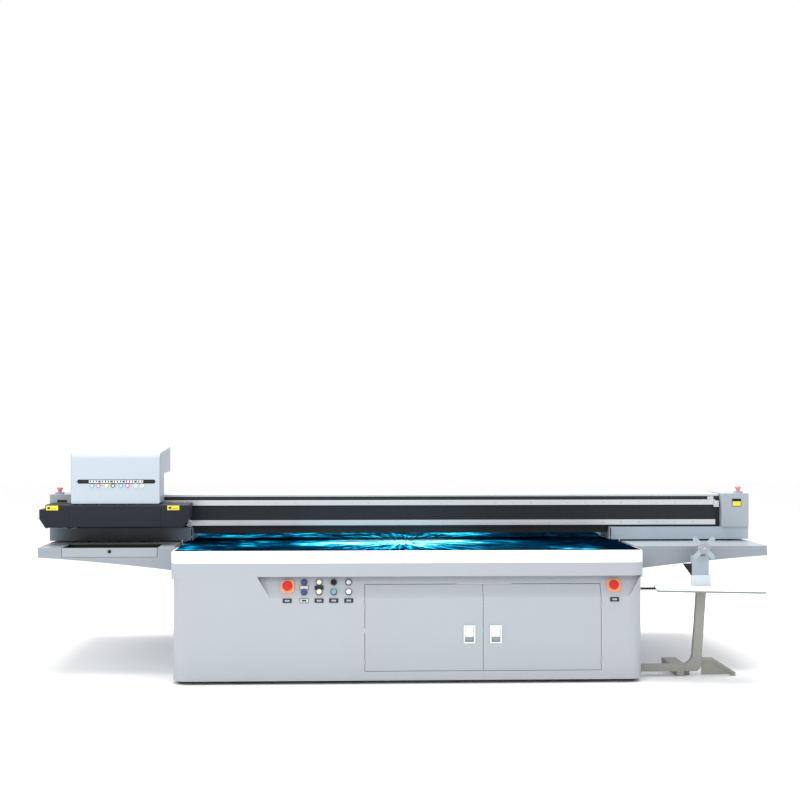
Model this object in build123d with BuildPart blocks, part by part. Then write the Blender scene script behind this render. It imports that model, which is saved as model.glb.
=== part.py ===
"""Flatbed UV printer: a steel base with a vacuum table, a gantry that runs front to back
over it, and a print carriage that runs along the gantry's beam.

Millimetres. +X runs to the right along the beam, +Y to the rear, +Z up. The origin is on the
floor under the middle of the machine's bounding box.
"""
from build123d import *
import os
from math import atan2, cos, degrees, hypot, radians, sin

os.makedirs("parts", exist_ok=True)

# ---------------------------------------------------------------- driving dimensions
FRONT = -955  # y of the base's front face
BASE_HALF = 1435  # half width of the base at its upper band
BASE_DEPTH = 2050
BACK = FRONT + BASE_DEPTH
BED_Z = 800  # top of the vacuum table
SKIN = 8  # folded sheet covers, with their return flanges
CORNER_R = 80  # plan radius of the front corners

BODY_HALF = BASE_HALF - 13  # the lower housing is a little narrower than the band
COVER_LOW = 22
BAND_LOW = 640
RIM_LOW = 727
CORNER_BACK = 300  # how far the front housing wraps back along the sides

SCOOP_LOW = 518  # sloping control panel set into the front housing
SCOOP_TOP = 647
SCOOP_DEPTH = 57
SCOOP_TOP_X = (-915, 1412)
SCOOP_LOW_X = (-836, 1333)

DOOR_LEFT = -267
DOOR_SPLIT = 447
DOOR_RIGHT = 1164
DOOR_LOW = 79
DOOR_TOP = 594
DOOR_GAP = 3
DOOR_T = 18
DOOR_SKIN = 3
HINGE_Z = (140, 470)
HINGE_R = 5
HINGE_PIN_R = 2.5
HINGE_LEN = 18
HINGE_Y = 1  # depth of the hinge axes behind the front face
LATCH_X = (364, 524)
LATCH_Z = 297
LATCH_W = 56
LATCH_H = 94
PADDLE_PIN = (6, LATCH_Z + 40)  # depth and height of the paddles' pins
PADDLE_PIN_R = 2

FRAME_HALF = 1400
TUBE = 80
TUBE_WALL = 6
FRAME_LOW = 60
FRAME_TOP = 690
LEG_X = (-1360, -320, 1360)
FLOOR_Z = FRAME_LOW + TUBE + 4  # top of the cabinet's floor sheet

TABLE_HALF = 1412
TABLE_T = 40
TABLE_FRONT = 32
TABLE_BACK = 1985
SHEET_T = 3
SHEET_BACK = 1530

RAIL_X = 1360  # Y rails on the frame's side beams
RAIL_W = 34
RAIL_H = 30
RAIL_FRONT = 330
RAIL_BACK = 1980
FIT = 0.05  # running clearance, radial

WING_IN = 1452
WING_OUT = 2290
WING_Z = 797
WING_FRONT = 310
WING_BACK = 1990
WING_PLATE = 25
WING_LOW_IN = 655
WING_LOW_OUT = 738
WING_WALL = 6
WING_BRACKETS = (450, 1150, 1850)

DRAWER_X = (-2139, -1552)
DRAWER_LOW = 740
DRAWER_TOP = 772
DRAWER_LEN = 290

SUPPORT_IN = 1372
SUPPORT_OUT = 2300
SUPPORT_LOW = 808
SUPPORT_TOP = 890
SUPPORT_FRONT = 720
SUPPORT_BACK = 1070
SADDLE_FRONT = 740
SADDLE_BACK = 1050
WEB_X = (1438, 1448)

BEAM_HALF = 2112
BEAM_FRONT = 762
BEAM_BACK = 1010
BEAM_TOP = 1091
BEAM_KEEL = 850
BEAM_WALL = 12
X_RAIL_Z = (920, 1051.5)
X_RAIL_H = 34
X_RAIL_D = 20
X_RAIL_HALF = 2085

END_IN = 2120
END_FRONT = 706
END_BACK = 1040
END_TOP = 1110
END_STOP_X = 2245
END_COLLAR = 12

CARRIAGE_X = -1840
COVER_HALF = 283
COVER_FRONT = 495
COVER_LOW_Z = 1061
COVER_STEP_Z = 1250
COVER_TOP_Z = 1388
COVER_REAR_Z = 1422
COVER_BACK = 1040
COVER_WALL = 4
LOWER_FRONT = 470
LOWER_BACK = 700
LOWER_LOW_Z = 906
LOWER_TOP_Z = 1056
LOWER_HALF = 288
LAMP_END_LEFT = -2314
LAMP_END_RIGHT = -1372

STAND_X = 1837
STAND_Y = 205
SHELF_Z = 560
SHELF_YAW = -10
VESA_Z = 798
VESA_PITCH = 100


def deep(distance):
    """y of a point this far behind the base's front face."""
    return FRONT + distance


def block(x_range, y_range, z_range, mode=Mode.ADD):
    """A box between two corners, the y values measured back from the front face."""
    x_mid, y_mid, z_mid = (sum(r) / 2 for r in (x_range, y_range, z_range))
    with Locations((x_mid, deep(y_mid), z_mid)):
        Box(
            abs(x_range[1] - x_range[0]),
            abs(y_range[1] - y_range[0]),
            abs(z_range[1] - z_range[0]),
            mode=mode,
        )


def mirrored(side, low, high):
    """An x range on the machine's left (-1) or right (1) side."""
    return (side * low, side * high)


def boxes(centres, size, mode=Mode.ADD):
    """The same box at several centres."""
    with Locations(*centres):
        Box(*size, mode=mode)


# ---------------------------------------------------------------- base: frame and feet
FRAME_ROWS = (120, 1020, 1920)  # depths of the three transverse rows, at their centre lines
TUBE_LEVELS = (FRAME_LOW + TUBE / 2, FRAME_TOP - TUBE / 2)
BAY_RUN = FRAME_ROWS[1] - FRAME_ROWS[0] - TUBE  # clear length between two rows
BAY_MIDS = ((FRAME_ROWS[0] + FRAME_ROWS[1]) / 2, (FRAME_ROWS[1] + FRAME_ROWS[2]) / 2)
POST_H = FRAME_TOP - FRAME_LOW - 2 * TUBE
FRAME_MID_Z = (FRAME_LOW + FRAME_TOP) / 2
BEARER_X = (-1250, -420, 420, 1250)
BEARER_H = BED_Z - TABLE_T - FRAME_TOP
legs = [(x, deep(y)) for x in LEG_X for y in FRAME_ROWS]


def tube(centre, size):
    """A closed square tube of the welded frame, butted against its neighbours."""
    with BuildPart() as bar:
        with Locations(centre):
            Box(*size)
            Box(*(side - 2 * TUBE_WALL for side in size), mode=Mode.SUBTRACT)
    return bar.part.solid()


members = []
for z_tube in TUBE_LEVELS:
    members += [tube((0, deep(y), z_tube), (2 * FRAME_HALF, TUBE, TUBE)) for y in FRAME_ROWS]
    for x_tube in (LEG_X[0], LEG_X[-1]):
        members += [tube((x_tube, deep(y), z_tube), (TUBE, BAY_RUN, TUBE)) for y in BAY_MIDS]
members += [tube((*leg, FRAME_MID_Z), (TUBE, TUBE, POST_H)) for leg in legs]
# bearers under the table
bearer_run = FRAME_ROWS[-1] - FRAME_ROWS[0] + TUBE
bearer_z = FRAME_TOP + BEARER_H / 2
members += [tube((x, deep(FRAME_ROWS[1]), bearer_z), (50, bearer_run, BEARER_H)) for x in BEARER_X]

with BuildPart() as cabinet_floor:
    block((-FRAME_HALF, FRAME_HALF), (80, 1060), (FRAME_LOW + TUBE, FLOOR_Z))
    boxes([(*leg, FLOOR_Z) for leg in legs], (TUBE, TUBE, TUBE), Mode.SUBTRACT)

base_frame = Compound(label="base_frame", children=[*members, cabinet_floor.part])
export_step(base_frame, "parts/base_frame.step")

with BuildPart() as leveling_feet:
    for z_low, z_high, radius in ((0, 14, 38), (14, FRAME_LOW - 8, 12), (FRAME_LOW - 8, FRAME_LOW, 36)):
        with BuildSketch(Plane.XY.offset(z_low)):
            with Locations(*legs):
                Circle(radius)
        extrude(amount=z_high - z_low)
leveling_feet.part.label = "leveling_feet"
export_step(leveling_feet.part, "parts/leveling_feet.step")


# ---------------------------------------------------------------- base: front housing
SLOPE = SCOOP_DEPTH / (BAND_LOW - SCOOP_LOW)  # how fast the control panel leans back
PANEL_TILT = degrees(atan2(SCOOP_DEPTH, BAND_LOW - SCOOP_LOW))


def panel_depth(z, grow=0):
    """Depth of the sloping panel at a height, or of a surface parallel to it."""
    return SLOPE * (z - SCOOP_LOW) + grow * hypot(1, SLOPE)


def scoop(grow):
    """The space in front of the sloping panel, grown on every side by a wall thickness."""
    out = -30
    low_z = SCOOP_LOW + (out - grow * hypot(1, SLOPE)) / SLOPE
    back = panel_depth(BAND_LOW, grow)
    with BuildPart(mode=Mode.PRIVATE) as wedge:
        with BuildSketch(Plane.YZ.offset(SCOOP_TOP_X[0] - grow)):
            with BuildLine():
                Polyline(
                    (deep(out), low_z),
                    (deep(back), BAND_LOW),
                    (deep(back), SCOOP_TOP + grow),
                    (deep(out), SCOOP_TOP + grow),
                    close=True,
                )
            make_face()
        extrude(amount=SCOOP_TOP_X[1] - SCOOP_TOP_X[0] + 2 * grow)
        with BuildSketch(Plane.XZ.offset(-deep(200))):
            with BuildLine():
                Polyline(
                    (SCOOP_TOP_X[0] - grow, SCOOP_TOP + grow),
                    (SCOOP_TOP_X[1] + grow, SCOOP_TOP + grow),
                    (SCOOP_LOW_X[1] + grow, SCOOP_LOW),
                    (SCOOP_LOW_X[1] + grow, low_z),
                    (SCOOP_LOW_X[0] - grow, low_z),
                    (SCOOP_LOW_X[0] - grow, SCOOP_LOW),
                    close=True,
                )
            make_face()
        extrude(amount=300, mode=Mode.INTERSECT)
    return wedge.part


def plan_outline(half, front, radius):
    """A rectangle with its two front corners rounded, open to the rear wrap line."""
    with BuildSketch() as outline:
        with BuildLine():
            FilletPolyline(
                (half, deep(CORNER_BACK)),
                (half, deep(front)),
                (-half, deep(front)),
                (-half, deep(CORNER_BACK)),
                radius=radius,
            )
            Line((-half, deep(CORNER_BACK)), (half, deep(CORNER_BACK)))
        make_face()
    return outline.sketch


def barrel(x_axis, z_low, radius, height):
    """A cylinder on a door's hinge line."""
    with BuildPart(mode=Mode.PRIVATE) as cylinder:
        with BuildSketch(Plane((x_axis, deep(HINGE_Y), z_low))):
            Circle(radius)
        extrude(amount=height)
    return cylinder.part


door_z = (DOOR_LOW - DOOR_GAP, DOOR_TOP + DOOR_GAP)
doors_x = (DOOR_LEFT - DOOR_GAP / 2, DOOR_RIGHT + DOOR_GAP / 2)

scoop_outer = scoop(0)
scoop_inner = scoop(SKIN)

with BuildPart() as housing_core:
    with BuildSketch(Plane.XY.offset(COVER_LOW)):
        add(plan_outline(BODY_HALF - SKIN, SKIN, CORNER_R - SKIN))
    extrude(amount=BAND_LOW - COVER_LOW)
    with BuildSketch(Plane.XY.offset(BAND_LOW)):
        add(plan_outline(BASE_HALF - SKIN, SKIN, CORNER_R - SKIN))
    extrude(amount=RIM_LOW - BAND_LOW)
    add(scoop_inner, mode=Mode.SUBTRACT)

with BuildPart() as front_cover:
    with BuildSketch(Plane.XY.offset(COVER_LOW)):
        add(plan_outline(BODY_HALF, 0, CORNER_R))
    extrude(amount=BAND_LOW - COVER_LOW)
    with BuildSketch(Plane.XY.offset(BAND_LOW - SKIN)):
        add(plan_outline(BASE_HALF, 0, CORNER_R))
    extrude(amount=RIM_LOW - BAND_LOW + SKIN)
    add(scoop_outer, mode=Mode.SUBTRACT)
    add(housing_core.part, mode=Mode.SUBTRACT)
    block(doors_x, (-5, 120), door_z, Mode.SUBTRACT)
    # panel joint below the doors
    block((DOOR_SPLIT - 1, DOOR_SPLIT + 1), (-1, 2), (COVER_LOW, DOOR_LOW), Mode.SUBTRACT)
    # weld-on hinges: a lower half barrel with its pin, on a leaf beside the opening
    for x_seam, side in ((DOOR_LEFT, -1), (DOOR_RIGHT, 1)):
        for z_hinge in HINGE_Z:
            # room for the door's own half barrel
            block(
                (x_seam, x_seam + side * (HINGE_R + 1)),
                (-5, HINGE_R + 2),
                (z_hinge + 0.1, z_hinge + HINGE_LEN + 1),
                Mode.SUBTRACT,
            )
            add(barrel(x_seam, z_hinge - HINGE_LEN, HINGE_R, HINGE_LEN))
            add(barrel(x_seam, z_hinge, HINGE_PIN_R, HINGE_LEN - 3))
front_cover.part.label = "front_cover"
export_step(front_cover.part, "parts/front_cover.step")

RIM_T = 28
with BuildPart() as front_rim:
    with BuildSketch(Plane.XY.offset(RIM_LOW)):
        add(plan_outline(BASE_HALF, 0, CORNER_R))
        block_half = BASE_HALF - 20
        with Locations((0, deep((RIM_T + CORNER_BACK) / 2 + 5))):
            Rectangle(2 * block_half, CORNER_BACK - RIM_T + 10, mode=Mode.SUBTRACT)
    extrude(amount=BED_Z - RIM_LOW)
    top_edges = front_rim.edges().group_by(Axis.Z)[-1]
    outer = [e for e in top_edges if abs(e.center().X) > block_half + 2 or e.center().Y < deep(10)]
    outer = [e for e in outer if e.center().Y < deep(CORNER_BACK - 1)]
    fillet(outer, radius=16)
front_rim.part.label = "front_rim"
export_step(front_rim.part, "parts/front_rim.step")


# ---------------------------------------------------------------- base: side and rear covers
for side, hand in ((-1, "left"), (1, "right")):
    with BuildPart() as side_cover:
        side_y = (CORNER_BACK, BASE_DEPTH - 4)
        block(mirrored(side, BODY_HALF - SKIN, BODY_HALF), side_y, (COVER_LOW, BAND_LOW))
        # stiffening returns along the upper and lower edges
        for z_edge in ((COVER_LOW, COVER_LOW + 6), (BAND_LOW - 6, BAND_LOW)):
            block(mirrored(side, BODY_HALF - 22, BODY_HALF - SKIN), side_y, z_edge)
    side_cover.part.label = f"side_cover_{hand}"
    export_step(side_cover.part, f"parts/side_cover_{hand}.step")

with BuildPart() as rear_cover:
    block((-BASE_HALF, BASE_HALF), (BASE_DEPTH - 4, BASE_DEPTH), (COVER_LOW, BED_Z - 5))
    block((-BASE_HALF, BASE_HALF), (TABLE_BACK + 5, BASE_DEPTH), (BED_Z - 9, BED_Z - 5))
    # louvred vents for the blower and the electronics
    for x_vent in (-700, 700):
        with BuildSketch(Plane.XZ.offset(-BACK)):
            with Locations((x_vent, 330)):
                with GridLocations(1, 34, 1, 9):
                    SlotOverall(420, 12)
        extrude(amount=30, both=True, mode=Mode.SUBTRACT)
rear_cover.part.label = "rear_cover"
export_step(rear_cover.part, "parts/rear_cover.step")


# ---------------------------------------------------------------- base: table, sheet, rails
with BuildPart() as vacuum_table:
    table_y = (TABLE_FRONT, TABLE_BACK)
    block((-TABLE_HALF, TABLE_HALF), table_y, (BED_Z - TABLE_T, BED_Z))
    with BuildSketch(Plane.XY.offset(BED_Z)):
        with Locations((0, deep(sum(table_y) / 2))):
            with GridLocations(230, 230, 12, 8):
                Circle(5)
    extrude(amount=-TABLE_T, mode=Mode.SUBTRACT)
    # plenum pockets milled from below, between the bearers
    pocket_y = TABLE_FRONT + (TABLE_BACK - TABLE_FRONT) / 2
    pocket_rows = [deep(pocket_y) + row * 630 for row in (-1, 0, 1)]
    pockets = [(x, y, BED_Z - TABLE_T + 14) for x in (-835, 0, 835) for y in pocket_rows]
    boxes(pockets, (740, 600, 28), Mode.SUBTRACT)
vacuum_table.part.label = "vacuum_table"
export_step(vacuum_table.part, "parts/vacuum_table.step")

with BuildPart() as printed_sheet:
    block((-TABLE_HALF + 2, TABLE_HALF - 2), (TABLE_FRONT - 2, SHEET_BACK), (BED_Z, BED_Z + SHEET_T))
printed_sheet.part.label = "printed_sheet"
export_step(printed_sheet.part, "parts/printed_sheet.step")

with BuildPart() as y_rails:
    for side in (-1, 1):
        for x_rail in (side * RAIL_X,):
            with BuildSketch(Plane.XZ.offset(-deep(RAIL_FRONT))):
                with Locations((x_rail, FRAME_TOP)):
                    Rectangle(RAIL_W, RAIL_H, align=(Align.CENTER, Align.MIN))
                for flank in (-1, 1):
                    with Locations((x_rail + flank * RAIL_W / 2, FRAME_TOP + RAIL_H / 2)):
                        Rectangle(10, 8, mode=Mode.SUBTRACT)
            extrude(amount=RAIL_FRONT - RAIL_BACK)
y_rails.part.label = "y_rails"
export_step(y_rails.part, "parts/y_rails.step")


# ---------------------------------------------------------------- base: cantilevered wings
def wing_section(side, inset, x_in, x_out, top):
    """The wing's underbody seen from the front: thin at its end, deep beside the base."""
    mid_x = (x_in + x_out) / 2
    rise = (WING_LOW_OUT - WING_LOW_IN) / (WING_OUT - WING_IN)
    low_in, mid_z, low_out = (
        WING_LOW_IN + rise * (x - WING_IN) + sag + inset
        for x, sag in ((x_in, 0), (mid_x, 6), (x_out, 0))
    )
    with BuildSketch() as section:
        with BuildLine():
            Polyline((side * x_in, low_in), (side * x_in, top), (side * x_out, top), (side * x_out, low_out))
            ThreePointArc((side * x_out, low_out), (side * mid_x, mid_z), (side * x_in, low_in))
        make_face()
    return section.sketch


for side, hand in ((-1, "left"), (1, "right")):
    with BuildPart() as wing:
        # top plate with rounded outer corners
        with BuildSketch(Plane.XY.offset(WING_Z)):
            with Locations((side * (WING_IN + WING_OUT) / 2, deep((WING_FRONT + WING_BACK) / 2))):
                Rectangle(WING_OUT - WING_IN, WING_BACK - WING_FRONT)
            fillet(vertices().group_by(Axis.X)[0 if side < 0 else -1], radius=18)
        extrude(amount=-WING_PLATE)
        # underbody, set back two millimetres from the plate's edge
        with BuildSketch(Plane.XZ.offset(-deep(WING_FRONT + 2))):
            add(wing_section(side, 0, WING_IN, WING_OUT - 3, WING_Z - WING_PLATE))
        extrude(amount=WING_FRONT - WING_BACK + 4)
        # lip that closes the running gap beside the base
        block(mirrored(side, BASE_HALF + 2, WING_IN), (WING_FRONT, WING_FRONT + 18), (WING_LOW_IN, WING_Z))
        # brackets to the frame's side beam, below the gantry's saddles
        for y_bracket in WING_BRACKETS:
            block(
                mirrored(side, FRAME_HALF, WING_IN),
                (y_bracket - 40, y_bracket + 40),
                (WING_LOW_IN + 2, FRAME_TOP),
            )
        # folded from sheet, so hollow: behind and below the drawer bay on the left
        bay_end = WING_FRONT + DRAWER_LEN + 40
        rear_wall = WING_BACK - 12
        hollow_in = WING_IN + WING_WALL
        hollow_top = WING_Z - WING_WALL
        if side < 0:
            hollows = (
                (bay_end, rear_wall, WING_OUT - 3 - WING_WALL, hollow_top),
                (WING_FRONT + 24, bay_end - 6, WING_OUT - 190, DRAWER_LOW - 8),
            )
        else:
            hollows = ((WING_FRONT + 24, rear_wall, WING_OUT - 3 - WING_WALL, hollow_top),)
        for y_near, y_far, x_far, z_top in hollows:
            with BuildSketch(Plane.XZ.offset(-deep(y_near))):
                add(wing_section(side, WING_WALL, hollow_in, x_far, z_top))
            extrude(amount=y_near - y_far, mode=Mode.SUBTRACT)
        if side < 0:
            # bay for the service drawer, open at the front and up through the top plate
            bay_x = (DRAWER_X[0] - 3, DRAWER_X[1] + 3)
            bay_y = (WING_FRONT - 5, WING_FRONT + DRAWER_LEN + 6)
            block(bay_x, bay_y, (DRAWER_LOW - 2, WING_Z + 5), Mode.SUBTRACT)
    wing.part.label = f"wing_{hand}"
    export_step(wing.part, f"parts/wing_{hand}.step")


# ---------------------------------------------------------------- service drawer in the left wing
DRAWER_MID = sum(DRAWER_X) / 2
LOCK_Z = DRAWER_LOW + 34
with BuildPart() as service_drawer:
    front_y = (WING_FRONT, WING_FRONT + 10)
    tray_y = (WING_FRONT + 10, WING_FRONT + DRAWER_LEN)
    block(DRAWER_X, front_y, (DRAWER_LOW, WING_Z - 1))
    block((DRAWER_X[0] + 2, DRAWER_X[1] - 2), tray_y, (DRAWER_LOW, DRAWER_TOP - 2))
    block(
        (DRAWER_X[0] + 5, DRAWER_X[1] - 5),
        (WING_FRONT + 10, WING_FRONT + DRAWER_LEN - 3),
        (DRAWER_LOW + 3, DRAWER_TOP),
        Mode.SUBTRACT,
    )
    with BuildSketch(Plane.XZ.offset(-deep(WING_FRONT - 1))):
        with Locations((DRAWER_MID, LOCK_Z)):
            Circle(9.3)
    extrude(amount=-20, mode=Mode.SUBTRACT)
service_drawer.part.label = "service_drawer"
export_step(service_drawer.part, "parts/service_drawer.step")

with BuildPart() as drawer_lock:
    with BuildSketch(Plane.XZ.offset(-deep(WING_FRONT - 4))):
        with Locations((DRAWER_MID, LOCK_Z)):
            Circle(11)
            Rectangle(2, 9, mode=Mode.SUBTRACT)
    extrude(amount=-3.5)
    with BuildSketch(Plane.XZ.offset(-deep(WING_FRONT - 0.5))):
        with Locations((DRAWER_MID, LOCK_Z)):
            Circle(9)
    extrude(amount=-11.5)
drawer_lock.part.label = "drawer_lock"
export_step(drawer_lock.part, "parts/drawer_lock.step")

HEAD_PITCH = 120
with BuildPart() as capping_station:
    block((DRAWER_X[0] + 14, DRAWER_X[1] - 14), (400, 595), (DRAWER_LOW + 3, DRAWER_LOW + 12))
    for column in range(4):
        x_cap = CARRIAGE_X - 1.5 * HEAD_PITCH + column * HEAD_PITCH
        for y_cap in (455, 545):
            cap_z = (DRAWER_LOW + 12, DRAWER_TOP - 2)
            block((x_cap - 44, x_cap + 44), (y_cap - 26, y_cap + 26), cap_z)
            cup_z = (DRAWER_LOW + 20, DRAWER_TOP)
            block((x_cap - 36, x_cap + 36), (y_cap - 18, y_cap + 18), cup_z, Mode.SUBTRACT)
capping_station.part.label = "capping_station"
export_step(capping_station.part, "parts/capping_station.step")


# ---------------------------------------------------------------- cabinet doors
def door_prism(x_range, thickness, low, high):
    """A door seen from its side, upright and then leaning back with the control panel."""
    inner_bend = SCOOP_LOW - (hypot(1, SLOPE) - 1) * thickness / SLOPE
    with BuildPart(mode=Mode.PRIVATE) as prism:
        with BuildSketch(Plane.YZ.offset(x_range[0])):
            with BuildLine():
                Polyline(
                    (deep(0), low),
                    (deep(0), SCOOP_LOW),
                    (deep(panel_depth(high)), high),
                    (deep(panel_depth(high, thickness)), high),
                    (deep(thickness), inner_bend),
                    (deep(thickness), low),
                    close=True,
                )
            make_face()
        extrude(amount=x_range[1] - x_range[0])
    return prism.part


DOOR_RANGES = (
    ("left", -1, DOOR_LEFT, (DOOR_LEFT + DOOR_GAP / 2, DOOR_SPLIT - DOOR_GAP / 2)),
    ("right", 1, DOOR_RIGHT, (DOOR_SPLIT + DOOR_GAP / 2, DOOR_RIGHT - DOOR_GAP / 2)),
)
for (hand, side, x_hinge, x_door), x_latch in zip(DOOR_RANGES, LATCH_X):
    skin = door_prism(x_door, DOOR_SKIN, DOOR_LOW - 1, DOOR_TOP + 1)
    hollow_x = (x_door[0] + DOOR_SKIN, x_door[1] - DOOR_SKIN)
    hollow = door_prism(hollow_x, DOOR_T + 20, DOOR_LOW + DOOR_SKIN, DOOR_TOP - DOOR_SKIN) - skin
    with BuildPart() as door:
        add(door_prism(x_door, DOOR_T, DOOR_LOW, DOOR_TOP))
        # folded pan, open at the back
        add(hollow, mode=Mode.SUBTRACT)
        # pressed tub for the paddle latch
        tub_x = (x_latch - LATCH_W / 2 - 3, x_latch + LATCH_W / 2 + 3)
        tub_z = (LATCH_Z - LATCH_H / 2 - 3, LATCH_Z + LATCH_H / 2 + 3)
        block(tub_x, (0, 16), tub_z)
        block((tub_x[0] + 3, tub_x[1] - 3), (-5, 13), (tub_z[0] + 3, tub_z[1] - 3), Mode.SUBTRACT)
        with BuildSketch(Plane.YZ.offset(tub_x[0])):
            with Locations((deep(PADDLE_PIN[0]), PADDLE_PIN[1])):
                Circle(PADDLE_PIN_R + FIT)
        extrude(amount=tub_x[1] - tub_x[0], mode=Mode.SUBTRACT)
        for z_hinge in HINGE_Z:
            # clear the frame's half barrel
            block(
                (x_hinge - side * (HINGE_R + 1), x_hinge + side * 3),
                (-6, HINGE_R + 2),
                (z_hinge - HINGE_LEN - 1, z_hinge + 0.2),
                Mode.SUBTRACT,
            )
            add(barrel(x_hinge, z_hinge + 0.3, HINGE_R, HINGE_LEN - 0.3))
            leaf = (x_hinge - side * 12, x_hinge - side * 0.5)
            block(leaf, (0.5, 4.5), (z_hinge + 0.3, z_hinge + HINGE_LEN))
            add(barrel(x_hinge, z_hinge - 1, HINGE_PIN_R + FIT, HINGE_LEN), mode=Mode.SUBTRACT)
    door.part.label = f"door_{hand}"
    export_step(door.part, f"parts/door_{hand}.step")

    # paddle: hinged along its top edge inside the tub, its face level with the door
    with BuildPart() as latch_paddle:
        paddle_x = (x_latch - LATCH_W / 2 + 3, x_latch + LATCH_W / 2 - 3)
        paddle_z = (LATCH_Z - 16, LATCH_Z + LATCH_H / 2 - 4)
        block(paddle_x, (0, 4), paddle_z)
        block(paddle_x, (0, 10), (paddle_z[1] - 6, paddle_z[1]))
        with BuildSketch(Plane.YZ.offset(tub_x[0] + 1)):
            with Locations((deep(PADDLE_PIN[0]), PADDLE_PIN[1])):
                Circle(PADDLE_PIN_R)
        extrude(amount=tub_x[1] - tub_x[0] - 2)
        grip = latch_paddle.edges().filter_by(Axis.X).group_by(Axis.Z)[0]
        fillet(grip, radius=1.8)
    latch_paddle.part.label = f"latch_paddle_{hand}"
    export_step(latch_paddle.part, f"parts/latch_paddle_{hand}.step")


# ---------------------------------------------------------------- controls on the sloping panel
def panel_plane(x, z, lift=0):
    """A plane on the control panel at (x, z), its normal out of the panel."""
    tilt = radians(PANEL_TILT)
    normal = (0, -cos(tilt), sin(tilt))
    spot = (x, deep(panel_depth(z)) + normal[1] * lift, z + normal[2] * lift)
    return Plane(origin=spot, x_dir=(1, 0, 0), z_dir=normal)


BUTTON_R = 15
BUTTON_TRAVEL = 4
HIGH_Z, LOW_Z = 607, 552
COLUMNS = (-632, -542, -454, -364)
BUTTONS = {
    "blue_button_upper": (COLUMNS[0], HIGH_Z),
    "blue_button_lower": (COLUMNS[0], LOW_Z),
    "ivory_button_upper": (COLUMNS[1], HIGH_Z),
    "ivory_button_lower": (COLUMNS[1], LOW_Z),
    "green_button": (COLUMNS[2], LOW_Z),
    "white_button": (COLUMNS[3], LOW_Z),
}
SELECTOR = (COLUMNS[2], HIGH_Z)
LAMP = (COLUMNS[3], HIGH_Z)
ESTOPS = {"left": (-733, 583), "right": (1245, 583)}
BEZEL_H = 8

with BuildPart() as button_bezels:
    for spot in (*BUTTONS.values(), SELECTOR, LAMP):
        with BuildSketch(panel_plane(*spot)):
            Circle(BUTTON_R + 5)
            Circle(BUTTON_R + 1, mode=Mode.SUBTRACT)
        extrude(amount=BEZEL_H)
button_bezels.part.label = "button_bezels"
export_step(button_bezels.part, "parts/button_bezels.step")

for name, spot in BUTTONS.items():
    with BuildPart() as push_button:
        with BuildSketch(panel_plane(*spot, 0.5 + BUTTON_TRAVEL)):
            Circle(BUTTON_R)
        extrude(amount=9)
        fillet(push_button.edges().sort_by(lambda e: -e.center().Y)[-1], radius=1.5)
    push_button.part.label = name
    export_step(push_button.part, f"parts/{name}.step")

with BuildPart() as selector_knob:
    with BuildSketch(panel_plane(*SELECTOR, 0.5)):
        Circle(BUTTON_R)
    extrude(amount=11)
    with BuildSketch(panel_plane(*SELECTOR, 11.5)):
        SlotOverall(27, 8, rotation=90)
    extrude(amount=11)
selector_knob.part.label = "selector_knob"
export_step(selector_knob.part, "parts/selector_knob.step")

with BuildPart() as indicator_lamp:
    with BuildSketch(panel_plane(*LAMP, 0)):
        Circle(BUTTON_R)
    extrude(amount=12)
    fillet(indicator_lamp.edges().sort_by(lambda e: -e.center().Y)[-1], radius=6)
indicator_lamp.part.label = "indicator_lamp"
export_step(indicator_lamp.part, "parts/indicator_lamp.step")

ESTOP_COLLAR = 82
ESTOP_HEAD_R = 29
ESTOP_TRAVEL = 6
GANTRY_HEAD_R = 20


def mushroom(plane, lift, head_r=ESTOP_HEAD_R):
    """A mushroom head on a stem that stops short of the plane by more than its travel."""
    stem_low = ESTOP_TRAVEL + 1
    with BuildPart(mode=Mode.PRIVATE) as button:
        with BuildSketch(plane.offset(stem_low)):
            Circle(13)
        extrude(amount=lift + 9 - stem_low)
        with BuildSketch(plane.offset(lift + 7)):
            Circle(head_r)
        extrude(amount=13)
    return button.part


with BuildPart() as estop_collars:
    for spot in ESTOPS.values():
        with BuildSketch(panel_plane(*spot)):
            RectangleRounded(ESTOP_COLLAR, ESTOP_COLLAR, 24)
            Circle(14, mode=Mode.SUBTRACT)
        extrude(amount=10)
estop_collars.part.label = "estop_collars"
export_step(estop_collars.part, "parts/estop_collars.step")

for hand, spot in ESTOPS.items():
    with BuildPart() as estop_button:
        add(mushroom(panel_plane(*spot), 10))
        fillet(estop_button.faces().sort_by(lambda f: -f.center().Y)[-1].edges(), radius=6)
    estop_button.part.label = f"estop_button_{hand}"
    export_step(estop_button.part, f"parts/estop_button_{hand}.step")


# ---------------------------------------------------------------- inside the cabinet
with BuildPart() as ink_tanks:
    for row in range(2):
        for column in range(4):
            x_tank = 640 + column * 130
            y_tank = 330 + row * 190
            with BuildSketch(Plane((x_tank, deep(y_tank), FLOOR_Z))):
                RectangleRounded(105, 160, 12)
            extrude(amount=230)
            with BuildSketch(Plane((x_tank, deep(y_tank), FLOOR_Z + 230))):
                Circle(24)
            extrude(amount=26)
ink_tanks.part.label = "ink_tanks"
export_step(ink_tanks.part, "parts/ink_tanks.step")

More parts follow.
